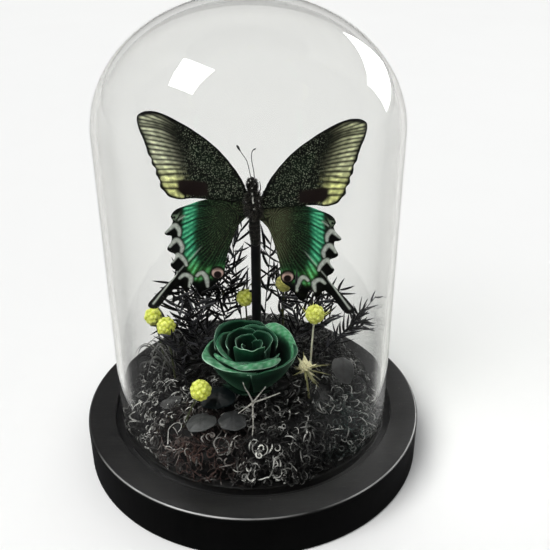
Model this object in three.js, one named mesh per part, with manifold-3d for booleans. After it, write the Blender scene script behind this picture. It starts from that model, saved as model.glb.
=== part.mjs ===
// A green-black swallowtail butterfly on a black post, with a preserved rose, moss and dry sprigs, under a
// glass dome on a turned wooden base. Millimetres, +Z up. The origin is the centre of the base's underside,
// and -Y is the front, where the butterfly's upper side faces.
import * as THREE from 'three';
import { mergeVertices } from 'three/addons/utils/BufferGeometryUtils.js';
import Module from 'manifold-3d';

const wasm = await Module();
wasm.setup();

// ---- Driving dimensions ----

const GAP = 0.3; // clearance between pieces that touch

const BASE_RADIUS = 75;
const BASE_HEIGHT = 20;
const BASE_EDGE = 0.8; // small bevel along both edges
const GROOVE_INNER = 56.8; // the groove that the glass stands in
const GROOVE_OUTER = 63;
const GROOVE_DEPTH = 3;
const SOCKET_DEPTH = 5; // how deep the post goes into the base

const DOME_RADIUS = 60;
const DOME_WALL = 2.4;
const DOME_SHOULDER = 150.5; // height where the straight wall ends
const DOME_TOP = 199.3;
const DOME_LIP = 0.6; // rounded bottom edge of the glass

const MOSS_FLOOR = BASE_HEIGHT + GAP;
const MOSS_CENTRE_RADIUS = 24;
const MOSS_OUTER_TUFTS = 6;
const TUFT_ARC_STEPS = 3; // sides of the middle tuft along each outer one
// Radius and height above the floor of the mound, from its foot by the glass to its middle.
const MOSS_SIDE = [[54.5, 0], [55.6, 3], [54, 8], [49, 13.5], [40, 18], [28, 20.8], [14, 22], [0, 22.3]];

const POST_RADIUS = 2.1;
const POST_X = 1.9;
const POST_Y = 5;
const POST_TOP = 121;

const BODY_X = 1.3; // the butterfly's middle line
const BODY_FLATTEN = 0.8; // the body is a little flatter than it is wide
const BODY_LEAN = -0.04; // sideways lean of the body, in mm per mm of height
const WING_THICKNESS = 0.4;
const FOREWING_ROOT_Z = 124.8;
const HINDWING_ROOT_Z = 114;
const HINDWING_SETBACK = 0.9; // the hindwings lie behind the forewings
// The right wings sit lower than the left ones: drop in mm, and droop of the outer end in degrees.
const RIGHT_FOREWING_SAG = { drop: 3.4, droop: 0.5 };
const RIGHT_HINDWING_SAG = { drop: 1.5, droop: 3.5 };

const ROSE_X = -1;
const ROSE_Y = -17.8;
const ROSE_FLOOR = 42.9;
const ROSE_PETALS = 14;
const ROSE_RIM = 63;
const ROSE_STEM_RADIUS = 1.5;

const BALL_STEM_RADIUS = 0.5;
const ROOT_DEPTH = 5; // how deep stems are pushed into the moss

const COLOURS = {
  black_wood: { color: 0x1b1b1a, roughness: 0.42 },
  clear_glass: { color: 0xf4f8f7, roughness: 0.02 },
  black_moss: { color: 0x171615, roughness: 0.9 },
  black_post: { color: 0x0b0b0e, roughness: 0.6 },
  insect_body: { color: 0x11120f, roughness: 0.85 },
  wing_scales: { color: 0x16271d, roughness: 0.7 },
  green_petal: { color: 0x0f5a37, roughness: 0.75 },
  yellow_flower: { color: 0xc4cc3e, roughness: 0.9 },
  cream_flower: { color: 0xd8d49a, roughness: 0.85 },
  dark_leaf: { color: 0x23282a, roughness: 0.6 },
  black_needle: { color: 0x15151a, roughness: 0.65 },
  dry_twig: { color: 0x8b8a80, roughness: 0.8 },
};

// ---- Helpers ----

/** Joins shared corners by position, and drops the slivers that a pole leaves behind. */
function weld(geometry) {
  const bare = geometry.clone();
  bare.deleteAttribute('normal');
  bare.deleteAttribute('uv');
  const joined = mergeVertices(bare, 1e-4);
  const index = joined.index.array;
  const kept = [];
  for (let i = 0; i < index.length; i += 3) {
    const [a, b, c] = index.slice(i, i + 3);
    if (a !== b && b !== c && a !== c) {
      kept.push(a, b, c);
    }
  }
  joined.setIndex(kept);
  return joined;
}

/** Turns a closed geometry into a solid that can be joined and cut. */
function toSolid(geometry) {
  const joined = weld(geometry);
  return new wasm.Manifold(new wasm.Mesh({
    numProp: 3,
    vertProperties: new Float32Array(joined.attributes.position.array),
    triVerts: new Uint32Array(joined.index.array),
  }));
}

/** Turns a solid back into a geometry. */
function toGeometry(solid) {
  const mesh = solid.getMesh();
  const geometry = new THREE.BufferGeometry();
  geometry.setAttribute('position', new THREE.BufferAttribute(mesh.vertProperties, 3));
  geometry.setIndex(new THREE.BufferAttribute(mesh.triVerts, 1));
  return geometry;
}

/** Keeps the largest body of a solid that a cut has divided. */
function largestBody(solid) {
  const bodies = solid.decompose();
  return bodies.reduce((best, body) => (body.volume() > best.volume() ? body : best));
}

/** Moves every corner of a geometry through a function of its own place. */
function reshape(geometry, move) {
  const place = geometry.attributes.position;
  const corner = new THREE.Vector3();
  for (let i = 0; i < place.count; i += 1) {
    corner.fromBufferAttribute(place, i);
    const moved = move(corner);
    place.setXYZ(i, moved.x, moved.y, moved.z);
  }
  return geometry;
}

/** A body of revolution about the Z axis, from [radius, height] pairs. */
function turned(profile, segments) {
  const points = profile.map(([radius, height]) => new THREE.Vector2(radius, height));
  return new THREE.LatheGeometry(points, segments).rotateX(Math.PI / 2);
}

/** An upright cylinder between two heights. */
function uprightCylinder(radius, bottom, top, segments) {
  const geometry = new THREE.CylinderGeometry(radius, radius, top - bottom, segments);
  return geometry.rotateX(Math.PI / 2).translate(0, 0, (top + bottom) / 2);
}

/** A thin round rod along a curve. */
function rod(path, radius, steps, sides = 5) {
  const section = new THREE.Shape();
  for (let i = 0; i < sides; i += 1) {
    const angle = (2 * Math.PI * i) / sides;
    const [x, y] = [radius * Math.cos(angle), radius * Math.sin(angle)];
    if (i === 0) {
      section.moveTo(x, y);
    } else {
      section.lineTo(x, y);
    }
  }
  return new THREE.ExtrudeGeometry(section, { steps, extrudePath: path });
}

/** The moss surface's height at a distance from the middle. */
function mossHeight(x, y) {
  const distance = Math.hypot(x, y);
  for (let i = 1; i < MOSS_SIDE.length; i += 1) {
    const [outer, low] = MOSS_SIDE[i - 1];
    const [inner, high] = MOSS_SIDE[i];
    if (distance <= outer && distance >= inner) {
      return MOSS_FLOOR + low + ((high - low) * (outer - distance)) / (outer - inner);
    }
  }
  return MOSS_FLOOR;
}

/** A curve from a root pushed into the moss, through a bend, to a tip. */
function stemCurve([rootX, rootY], bend, tip) {
  const root = new THREE.Vector3(rootX, rootY, mossHeight(rootX, rootY) - ROOT_DEPTH);
  return new THREE.QuadraticBezierCurve3(root, new THREE.Vector3(...bend), new THREE.Vector3(...tip));
}

// ---- Base, glass and post ----

function woodBase() {
  const profile = [
    [0, 0],
    [BASE_RADIUS - BASE_EDGE, 0],
    [BASE_RADIUS, BASE_EDGE],
    [BASE_RADIUS, BASE_HEIGHT - BASE_EDGE],
    [BASE_RADIUS - BASE_EDGE, BASE_HEIGHT],
    [GROOVE_OUTER, BASE_HEIGHT],
    [GROOVE_OUTER, BASE_HEIGHT - GROOVE_DEPTH],
    [GROOVE_INNER, BASE_HEIGHT - GROOVE_DEPTH],
    [GROOVE_INNER, BASE_HEIGHT],
    [0, BASE_HEIGHT],
  ];
  const disc = toSolid(turned(profile, 60));
  const socket = uprightCylinder(POST_RADIUS + GAP, BASE_HEIGHT - SOCKET_DEPTH, BASE_HEIGHT + 1, 12);
  return toGeometry(disc.subtract(toSolid(socket.translate(POST_X, POST_Y, 0))));
}

/** The dome's outline at a distance inside its outer face, from the shoulder to the crown. */
function crownArc(inset, steps) {
  const radius = DOME_RADIUS - inset;
  const rise = DOME_TOP - DOME_SHOULDER - inset;
  const arc = [];
  for (let i = 0; i <= steps; i += 1) {
    const angle = (Math.PI / 2) * (i / steps);
    const across = i === steps ? 0 : radius * Math.cos(angle);
    arc.push([across, DOME_SHOULDER + rise * Math.sin(angle)]);
  }
  return arc;
}

function glassDome() {
  const foot = BASE_HEIGHT - GROOVE_DEPTH + GAP;
  const inner = DOME_RADIUS - DOME_WALL;
  const profile = [
    [inner, foot + DOME_LIP],
    [inner + DOME_LIP, foot],
    [DOME_RADIUS - DOME_LIP, foot],
    [DOME_RADIUS, foot + DOME_LIP],
    ...crownArc(0, 7),
    ...crownArc(DOME_WALL, 7).reverse(),
    [inner, foot + DOME_LIP],
  ];
  return turned(profile, 44);
}

function supportPost() {
  const bottom = BASE_HEIGHT - SOCKET_DEPTH + GAP;
  return uprightCylinder(POST_RADIUS, bottom, POST_TOP, 12).translate(POST_X, POST_Y, 0);
}

/** The space that the post needs above the base, with a gap round it. */
function postSpace() {
  return uprightCylinder(POST_RADIUS + GAP, 0, POST_TOP, 8).translate(POST_X, POST_Y, 0);
}

// ---- Butterfly ----

// Distance outward from the middle line, and height above the wing's root, along each wing's edge.
const FOREWING_EDGE = [
  [3.4, 0], [6.3, 6.8], [10.5, 12.9], [14.8, 17.9], [19.5, 22], [25, 26], [30.7, 29.4], [36.2, 31.8],
  [40.2, 32.2], [42.9, 31.3], [44.2, 29.6], [43.8, 25.4], [42, 20.2], [40.2, 12.4], [38.7, 7.2],
  [37.2, 2.4], [35.6, -0.7], [32.8, -3.1], [29, -4], [23.8, -3.5], [10, -4.6], [3.4, -5],
];
const HINDWING_EDGE = [
  [3.4, 5], [12, 7], [21, 6], [26.8, 4], [31.9, 1.9], [33.9, -0.9], [33.2, -3.1], [36.9, -8],
  [34.2, -9.8], [36.3, -15.4], [33.2, -18.3], [35.4, -22.9], [32.7, -26.5], [45.9, -41.3], [44, -44.6],
  [41.5, -43.4], [33.4, -33.6], [29.8, -36.6], [27.3, -33.2], [22, -38.7], [18.6, -34.4], [14.8, -30.8],
  [12.7, -27.6], [12.4, -24], [11.2, -18.6], [9.1, -12.1], [6.4, -4.8], [3.4, -1],
];

/** A thin upright wing. side is 1 for the right wing, -1 for the left one. droop turns its outer end down. */
function wing(edge, side, rootZ, setback, { drop, droop } = { drop: 0, droop: 0 }) {
  const outline = new THREE.Shape(edge.map(([out, up]) => new THREE.Vector2(side * out, up)));
  const blade = new THREE.ExtrudeGeometry(outline, { depth: WING_THICKNESS, bevelEnabled: false });
  return blade
    .rotateX(Math.PI / 2)
    .rotateY(side * THREE.MathUtils.degToRad(droop))
    .translate(BODY_X, setback + WING_THICKNESS / 2, rootZ - drop);
}

function butterflyBody() {
  const profile = [
    [0, 99.6], [1.4, 100.2], [2.2, 103], [2.4, 108], [2, 113.4], // abdomen
    [2.7, 115], [3, 118.5], [2.5, 122], [1.5, 123.8], // thorax
    [2.3, 125.5], [2.2, 127.6], [1.2, 129], [0, 129.3], // head
  ];
  const middle = 114;
  return reshape(turned(profile, 10), ({ x, y, z }) => (
    new THREE.Vector3(x + BODY_X + (z - middle) * BODY_LEAN, y * BODY_FLATTEN, z)
  ));
}

// Points along each antenna, from the head to the club.
const LEFT_ANTENNA = [[0.3, -0.6, 129.9], [-1.2, -1, 137], [-3.1, -1.2, 140.2], [-4.5, -1.4, 143.2]];
const RIGHT_ANTENNA = [[1.7, -0.6, 129.9], [1, -1, 135.4], [0.7, -1.2, 138.8], [2.2, -1.4, 142]];

function antenna(points) {
  const path = new THREE.CatmullRomCurve3(points.map((point) => new THREE.Vector3(...point)));
  const shaft = toSolid(rod(path, 0.28, 6));
  const club = new THREE.IcosahedronGeometry(0.6, 0).translate(...points.at(-1));
  return toGeometry(shaft.add(toSolid(club)));
}

// ---- Rose ----

// Compass directions of the petals from the innermost to the outermost, in degrees from +X.
const PETAL_TURNS = [200, 10, 130, 265, 20, 140, 60, 178, 276, 245, 112, 33, 182, 318];

/** One petal, a curved blade in a nest of bowls. */
function rosePetal(order) {
  const turn = THREE.MathUtils.degToRad(PETAL_TURNS[order]);
  const spread = THREE.MathUtils.degToRad(150 - 3.5 * order);
  const foot = 1.8 + 0.62 * order;
  const rim = 3.6 + 1.25 * order;
  const top = ROSE_RIM + 3 - 0.25 * order;
  const floor = ROSE_FLOOR + 1.5;
  const blade = new THREE.BoxGeometry(1, 1, 1, 4, 3, 1);
  return reshape(blade, ({ x, y, z }) => {
    const angle = turn + x * spread;
    const height = (y + 0.5) * (1 - 0.9 * x * x);
    const swell = Math.sin((height * Math.PI) / 2);
    const thickness = 0.3 + 0.25 * height;
    const radius = foot + (rim - foot) * swell + z * thickness;
    return new THREE.Vector3(
      ROSE_X + radius * Math.cos(angle),
      ROSE_Y + radius * Math.sin(angle),
      floor + (top - floor) * height,
    );
  });
}

function roseCalyx() {
  const root = mossHeight(ROSE_X, ROSE_Y) - ROOT_DEPTH;
  const profile = [
    [0, root],
    [ROSE_STEM_RADIUS, root],
    [ROSE_STEM_RADIUS, ROSE_FLOOR - 0.6],
    [9.5, ROSE_FLOOR],
    [10.4, ROSE_FLOOR + 1],
    [0, ROSE_FLOOR + 1],
  ];
  return turned(profile, 14).translate(ROSE_X, ROSE_Y, 0);
}

// ---- Small flowers, leaves and sprigs ----

// Ball-shaped flower heads on thin stems: centre and radius of the head, and where the stem meets the moss.
const BALL_FLOWERS = [
  { name: 'ball_flower_1', head: [-44.3, 8, 61.1], radius: 4.3, root: [-40, 5] },
  { name: 'ball_flower_2', head: [-37, -6, 64.7], radius: 4.1, root: [-34, -9] },
  { name: 'ball_flower_3', head: [-20.9, -36, 53.2], radius: 4.3, root: [-30, -36] },
  { name: 'ball_flower_4', head: [-3.2, 13, 67.3], radius: 4, root: [-2, 16] },
  { name: 'ball_flower_5', head: [14.2, 10, 76], radius: 3.8, root: [14, 17] },
  { name: 'ball_flower_6', head: [27, -4, 68.4], radius: 4.2, root: [25, -7] },
];

/** The path of a flower's stem, from the moss up into its head. */
function flowerStem({ head, root }) {
  const [x, y, z] = head;
  return stemCurve(root, [(x + root[0]) / 2, (y + root[1]) / 2, z - 8], [x, y, z - 1]);
}

function ballFlower(flower) {
  const stem = toSolid(rod(flowerStem(flower), BALL_STEM_RADIUS, 3));
  const head = new THREE.IcosahedronGeometry(flower.radius, 1).translate(...flower.head);
  return toGeometry(stem.add(toSolid(head)));
}

/** The space that a flower's stem needs, with a gap round it. */
function flowerStemSpace(flower) {
  return rod(flowerStem(flower), BALL_STEM_RADIUS + GAP, 3);
}

const STAR_FLOWER = { head: [21.8, -23, 54.2], radius: 4.6, root: [24, -24] };

// Rounded dark leaves lying on the moss: centre, half length and half width, and the slopes of the leaf.
const DARK_LEAVES = [
  { name: 'dark_leaf_1', centre: [-21, -39.2, 39.4], half: [6, 5.2], slope: [0.14, 0.08] },
  { name: 'dark_leaf_2', centre: [-8.4, -39.6, 40], half: [5.6, 5.4], slope: [-0.06, 0.12] },
  { name: 'dark_leaf_3', centre: [-14.4, -31.2, 45.4], half: [7.2, 5.2], slope: [0.1, 0.3] },
  { name: 'dark_leaf_4', centre: [39.4, -11, 43.8], half: [5.4, 5.6], slope: [-0.3, 0.95] },
  { name: 'dark_leaf_5', centre: [-34.7, -24.8, 38.6], half: [4.4, 3], slope: [0.3, 0.25] },
];

/** A domed oval leaf. */
function darkLeaf({ centre, half, slope }) {
  const blade = new THREE.BoxGeometry(2, 2, 1, 4, 4, 1);
  return reshape(blade, ({ x, y, z }) => {
    const across = x * Math.sqrt(1 - (y * y) / 2);
    const along = y * Math.sqrt(1 - (x * x) / 2);
    const crown = 1.4 * (1 - across * across - along * along);
    const [dx, dy] = [half[0] * across, half[1] * along];
    const lift = dx * slope[0] + dy * slope[1] + crown + z * 0.6;
    return new THREE.Vector3(centre[0] + dx, centre[1] + dy, centre[2] + lift);
  });
}

// Leafy sprigs as plain bodies that reach the needle tips: the root on the moss, the bend and the tip of the
// stem, and how far the needles reach to the sides and to front and back.
const SPRIGS = [
  { name: 'bare_twig_left', root: [-4, 15], bend: [-6, 15, 70], tip: [-11, 13, 104], reach: [2.6, 2] },
  { name: 'bare_twig_right', root: [4, 17], bend: [7, 18, 70], tip: [9, 14, 100], reach: [3.2, 2] },
  { name: 'needle_sprig_1', root: [25, 5], bend: [40, 5, 50], tip: [55, 4, 72], reach: [8, 3.6] },
  { name: 'needle_sprig_2', root: [23, 12], bend: [30, 14, 52], tip: [35, 13, 71], reach: [6, 4] },
  { name: 'needle_sprig_3', root: [10, 20], bend: [14, 22, 58], tip: [19, 19, 84], reach: [6, 4.5] },
  { name: 'needle_sprig_4', root: [15, 7], bend: [20, 5, 54], tip: [25, 7, 74], reach: [4.6, 3.4] },
  { name: 'needle_sprig_5', root: [-10, 14], bend: [-14, 13, 60], tip: [-16, 14, 84], reach: [5.4, 4.2] },
  { name: 'needle_sprig_6', root: [-17, 15], bend: [-26, 18, 56], tip: [-31, 16, 80], reach: [5.6, 4.2] },
  { name: 'needle_sprig_7', root: [-22, 6], bend: [-29, 6, 54], tip: [-35, 7, 69], reach: [5, 3.6] },
  { name: 'needle_sprig_8', root: [-20, -3], bend: [-24, -4, 54], tip: [-27, -4, 71], reach: [5.5, 3.5] },
  { name: 'needle_sprig_9', root: [-28, -16], bend: [-30, -15, 52], tip: [-31, -14, 61], reach: [4.5, 4] },
  { name: 'needle_sprig_10', root: [35, 14], bend: [44, 16, 50], tip: [50, 15, 53], reach: [5, 5] },
  { name: 'grass_tuft', root: [-34, -4], bend: [-42, -5, 58], tip: [-53, -7, 41], reach: [5, 5] },
];

const ON_AXIS = 1e-6;

/** A body that swells along a stem: bare at the root, widest past the middle, closed at the tip. */
function sprigBody({ root, bend, tip, reach }, grow = 0) {
  const outline = [[0, 0], [0.12, 0], [0.12, 0.2], [0.7, 0.4], [1, 0.65], [0.7, 0.88], [0, 1]];
  const body = new THREE.LatheGeometry(outline.map(([r, t]) => new THREE.Vector2(r, t)), 7);
  const stem = stemCurve(root, bend, tip);
  const forward = new THREE.Vector3(0, 1, 0);
  return reshape(body, ({ x, y, z }) => {
    const along = stem.getTangent(y);
    const side = forward.clone().cross(along).normalize();
    const back = side.clone().cross(along);
    const spread = Math.hypot(x, z);
    const growth = spread > ON_AXIS ? grow / spread : 0;
    return stem.getPoint(y)
      .addScaledVector(side, x * (reach[0] + growth))
      .addScaledVector(back, z * (reach[1] + growth))
      .addScaledVector(along, y === 0 ? -grow : 0);
  });
}

// A small pale twig in front of the rose: its fork and the ends of its arms. The last one stands on the moss.
const PALE_TWIG_FORK = [-0.1, -40.5, 50];
const PALE_TWIG_RADIUS = 0.4;
const PALE_TWIG_ENDS = [
  [-3.8, -40.5, 60], [4.8, -40.5, 57.5], [10.5, -40, 54], [-6, -41.5, 45.5], [-0.4, -46, 37.6],
];

function paleTwig() {
  const fork = new THREE.Vector3(...PALE_TWIG_FORK);
  const arms = PALE_TWIG_ENDS.map((end) => {
    const line = new THREE.LineCurve3(fork, new THREE.Vector3(...end));
    return toSolid(rod(line, PALE_TWIG_RADIUS, 1));
  });
  return toGeometry(arms.reduce((whole, arm) => whole.add(arm)));
}

// ---- Moss ----

/** The whole mound, before it is divided into tufts. */
function mossMound() {
  const profile = [[0, 0], ...MOSS_SIDE].map(([radius, height]) => [radius, MOSS_FLOOR + height]);
  return toSolid(turned(profile, 30));
}

/** An upright prism, taller than the mound, on an outline. */
function uprightPrism(points) {
  const outline = new THREE.Shape(points);
  return toSolid(new THREE.ExtrudeGeometry(outline, { depth: BASE_HEIGHT * 3, bevelEnabled: false }));
}

/** The prism that holds the middle tuft. */
function centrePrism() {
  const sides = MOSS_OUTER_TUFTS * TUFT_ARC_STEPS;
  const points = [];
  for (let i = 0; i < sides; i += 1) {
    const angle = (2 * Math.PI * i) / sides;
    points.push(new THREE.Vector2(Math.cos(angle), Math.sin(angle)).multiplyScalar(MOSS_CENTRE_RADIUS));
  }
  return uprightPrism(points);
}

/** The prism that holds one outer tuft, with a gap to its neighbours. */
function tuftPrism(order) {
  const width = (2 * Math.PI) / MOSS_OUTER_TUFTS;
  const start = order * width;
  const inner = MOSS_CENTRE_RADIUS + GAP;
  const outer = DOME_RADIUS * 1.3;
  const corner = (radius, share) => {
    const inset = GAP / 2 / radius;
    const angle = start + inset + (width - 2 * inset) * share;
    return new THREE.Vector2(radius * Math.cos(angle), radius * Math.sin(angle));
  };
  const points = [corner(outer, 0), corner(outer, 1)];
  for (let i = TUFT_ARC_STEPS; i >= 0; i -= 1) {
    points.push(corner(inner, i / TUFT_ARC_STEPS));
  }
  return uprightPrism(points);
}

/** Every hole that the post and the stems need through the moss. */
function mossHoles() {
  const roseRoot = mossHeight(ROSE_X, ROSE_Y) - ROOT_DEPTH - GAP;
  const roseHole = uprightCylinder(ROSE_STEM_RADIUS + GAP, roseRoot, POST_TOP, 8);
  const stems = [...BALL_FLOWERS, STAR_FLOWER].map(flowerStemSpace);
  const sprigs = SPRIGS.map((sprig) => sprigBody(sprig, GAP));
  return [postSpace(), roseHole.translate(ROSE_X, ROSE_Y, 0), ...stems, ...sprigs].map(toSolid);
}

// ---- Assembly ----

const model = new THREE.Group();

function addPiece(name, geometry, finish) {
  const material = new THREE.MeshStandardMaterial({ metalness: 0, ...COLOURS[finish] });
  const mesh = new THREE.Mesh(geometry, material);
  mesh.name = name;
  model.add(mesh);
}

addPiece('wood_base', woodBase(), 'black_wood');
addPiece('glass_dome', glassDome(), 'clear_glass');
addPiece('support_post', supportPost(), 'black_post');

addPiece('butterfly_body', butterflyBody(), 'insect_body');
addPiece('forewing_left', wing(FOREWING_EDGE, -1, FOREWING_ROOT_Z, 0), 'wing_scales');
addPiece('forewing_right', wing(FOREWING_EDGE, 1, FOREWING_ROOT_Z, 0, RIGHT_FOREWING_SAG), 'wing_scales');
addPiece('hindwing_left', wing(HINDWING_EDGE, -1, HINDWING_ROOT_Z, HINDWING_SETBACK), 'wing_scales');
addPiece(
  'hindwing_right',
  wing(HINDWING_EDGE, 1, HINDWING_ROOT_Z, HINDWING_SETBACK, RIGHT_HINDWING_SAG),
  'wing_scales',
);
addPiece('antenna_left', antenna(LEFT_ANTENNA), 'insect_body');
addPiece('antenna_right', antenna(RIGHT_ANTENNA), 'insect_body');

addPiece('rose_calyx', roseCalyx(), 'green_petal');
for (let order = 0; order < ROSE_PETALS; order += 1) {
  addPiece(`rose_petal_${order + 1}`, rosePetal(order), 'green_petal');
}

for (const flower of BALL_FLOWERS) {
  addPiece(flower.name, ballFlower(flower), 'yellow_flower');
}
addPiece('star_flower', ballFlower(STAR_FLOWER), 'cream_flower');
for (const leaf of DARK_LEAVES) {
  addPiece(leaf.name, darkLeaf(leaf), 'dark_leaf');
}
addPiece('pale_twig', paleTwig(), 'dry_twig');

// The sprigs give way to the post, the flowers and each other, in this order.
const taken = [toSolid(postSpace())];
for (const flower of BALL_FLOWERS) {
  taken.push(toSolid(flowerStemSpace(flower)));
  taken.push(toSolid(new THREE.IcosahedronGeometry(flower.radius + GAP, 1).translate(...flower.head)));
}
for (const sprig of SPRIGS) {
  const cut = taken.reduce((body, other) => body.subtract(other), toSolid(sprigBody(sprig)));
  addPiece(sprig.name, toGeometry(largestBody(cut)), 'black_needle');
  taken.push(toSolid(sprigBody(sprig, GAP)));
}

const mound = mossHoles().reduce((moss, hole) => moss.subtract(hole), mossMound());
addPiece('moss_centre', toGeometry(largestBody(mound.intersect(centrePrism()))), 'black_moss');
for (let order = 0; order < MOSS_OUTER_TUFTS; order += 1) {
  const tuft = mound.intersect(tuftPrism(order));
  addPiece(`moss_tuft_${order + 1}`, toGeometry(largestBody(tuft)), 'black_moss');
}

export default model;
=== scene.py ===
"""A swallowtail butterfly, a preserved rose, moss and dry sprigs under a glass dome on a black wooden base.

Shapes are worked out in millimetres and scaled to metres when a mesh is made. -Y is the front.
"""

import math

import bpy
import numpy as np
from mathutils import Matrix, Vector
from mathutils.geometry import delaunay_2d_cdt


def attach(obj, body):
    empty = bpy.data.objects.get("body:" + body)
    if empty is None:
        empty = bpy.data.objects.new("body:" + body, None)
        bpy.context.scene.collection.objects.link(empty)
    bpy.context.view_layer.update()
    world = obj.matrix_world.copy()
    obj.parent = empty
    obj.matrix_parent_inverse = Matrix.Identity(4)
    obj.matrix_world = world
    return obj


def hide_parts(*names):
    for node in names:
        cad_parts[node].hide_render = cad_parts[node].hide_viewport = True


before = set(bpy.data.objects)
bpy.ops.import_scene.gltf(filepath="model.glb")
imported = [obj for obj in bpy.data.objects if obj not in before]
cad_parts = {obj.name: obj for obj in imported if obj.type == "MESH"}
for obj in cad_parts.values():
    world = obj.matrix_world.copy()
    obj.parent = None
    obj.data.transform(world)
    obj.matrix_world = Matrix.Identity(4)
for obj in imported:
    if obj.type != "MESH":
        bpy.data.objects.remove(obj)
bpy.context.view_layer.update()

MM = 0.001
RANDOM = np.random.default_rng(2024)

# ---- Sizes, in mm: those of the CAD model ----

BASE_RADIUS = 75
BASE_HEIGHT = 20
BASE_EDGE = 0.8
GROOVE_INNER = 56.8
GROOVE_OUTER = 63
GROOVE_DEPTH = 3
GAP = 0.3

DOME_RADIUS = 60
DOME_WALL = 2.4
DOME_SHOULDER = 150.5
DOME_TOP = 199.3

MOSS_FLOOR = BASE_HEIGHT + GAP
MOSS_CENTRE_RADIUS = 24
MOSS_OUTER_TUFTS = 6
MOSS_SIDE = [(54.5, 0), (55.6, 3), (54, 8), (49, 13.5), (40, 18), (28, 20.8), (14, 22), (0, 22.3)]

POST_RADIUS = 2.1
POST_X = 1.9
POST_Y = 5
POST_TOP = 121
SOCKET_DEPTH = 5

# ---- Camera, at the photograph's viewing angle ----

CAMERA_PLACE = (0.00144, -0.297, 0.2494)
CAMERA_DOWN = 28.92  # degrees
CAMERA_RIGHT = 1.633
CAMERA_LENS = 52.36

scene = bpy.context.scene


def add_camera():
    data = bpy.data.cameras.new("camera")
    data.lens = CAMERA_LENS
    data.sensor_width = 36
    data.clip_start = 0.01
    data.clip_end = 50
    camera = bpy.data.objects.new("camera", data)
    camera.location = CAMERA_PLACE
    camera.rotation_euler = (math.radians(90 - CAMERA_DOWN), 0, math.radians(-CAMERA_RIGHT))
    scene.collection.objects.link(camera)
    scene.camera = camera


add_camera()

# ---- Node helpers ----


class Nodes:
    """A short way to write a material's node tree."""

    def __init__(self, tree):
        self.tree = tree
        tree.nodes.clear()

    def fill(self, socket, value):
        """Links another node's output to a socket, or sets the socket to a plain value."""
        if isinstance(value, bpy.types.NodeSocket):
            self.tree.links.new(value, socket)
        elif socket.type == "RGBA":
            socket.default_value = (*value, 1)[:4]
        else:
            socket.default_value = value

    def add(self, kind, settings=None, **inputs):
        """A node with settings (its properties) and inputs, by name or by number as i0, i1 and so on."""
        node = self.tree.nodes.new(kind)
        for key, value in (settings or {}).items():
            setattr(node, key, value)
        for key, value in inputs.items():
            numbered = key[0] == "i" and key[1:].isdigit()
            self.fill(node.inputs[int(key[1:]) if numbered else key.replace("_", " ")], value)
        return node

    def position(self):
        """The object-space place, in metres; pieces sit at the origin, so it is also the frame's place."""
        return self.add("ShaderNodeTexCoord").outputs["Object"]

    def stretched(self, scale):
        """The place, scaled along each axis."""
        return self.add("ShaderNodeMapping", None, Vector=self.position(), Scale=scale).outputs[0]

    def axes(self, vector=None):
        """The X, Y and Z of a vector, or of the place."""
        vector = self.position() if vector is None else vector
        return self.add("ShaderNodeSeparateXYZ", None, Vector=vector).outputs[:]

    def noise(self, scale, detail=3.0, roughness=0.55, vector=None):
        vector = self.position() if vector is None else vector
        inputs = {"Vector": vector, "Scale": scale, "Detail": detail, "Roughness": roughness}
        return self.add("ShaderNodeTexNoise", None, **inputs).outputs["Fac"]

    def cells(self, scale):
        """The distance from the middle of the nearest of many random cells."""
        return self.add("ShaderNodeTexVoronoi", None, Vector=self.position(), Scale=scale).outputs["Distance"]

    def remap(self, value, low, high, to_low=0.0, to_high=1.0):
        return self.add("ShaderNodeMapRange", None, i0=value, i1=low, i2=high, i3=to_low, i4=to_high).outputs[0]

    def maths(self, operation, a, b):
        return self.add("ShaderNodeMath", {"operation": operation}, i0=a, i1=b).outputs[0]

    def mix(self, factor, a, b, blend="MIX"):
        settings = {"data_type": "RGBA", "blend_type": blend}
        return self.add("ShaderNodeMix", settings, i0=factor, i6=a, i7=b).outputs[2]

    def times(self, colour, value):
        return self.mix(1.0, colour, value, "MULTIPLY")

    def attribute(self, name):
        return self.add("ShaderNodeAttribute", {"attribute_name": name}).outputs["Color"]

    def bump(self, height, distance, strength=1.0):
        inputs = {"Height": height, "Distance": distance, "Strength": strength}
        return self.add("ShaderNodeBump", None, **inputs).outputs["Normal"]

    def principled(self, colour, roughness, normal=None, **extra):
        """The Principled shader. extra holds plain values for its sockets."""
        inputs = {"Base_Color": colour, "Roughness": roughness, **extra}
        if normal is not None:
            inputs["Normal"] = normal
        return self.add("ShaderNodeBsdfPrincipled", None, **inputs).outputs[0]

    def surface(self, *colour_and_shape, **extra):
        """The Principled shader, linked to the material's output."""
        self.add("ShaderNodeOutputMaterial", None, Surface=self.principled(*colour_and_shape, **extra))


def material(name):
    """A new material and the helper that fills its tree."""
    made = bpy.data.materials.new(name)
    made.use_nodes = True
    return made, Nodes(made.node_tree)


def painted(name, mottle, spread, roughness, relief, depth, **extra):
    """A material coloured by the tone attribute of its mesh.

    mottle gives the noise that makes the tone uneven, and spread the factors it runs between.
    relief gives the noise of the bump, and depth the bump's depth in metres."""
    finish, n = material(name)
    uneven = n.remap(n.noise(*mottle), 0.3, 0.7, *spread)
    n.surface(n.times(n.attribute("tone"), uneven), roughness, n.bump(n.noise(*relief), depth), **extra)
    return finish


# ---- Mesh helpers ----


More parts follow.
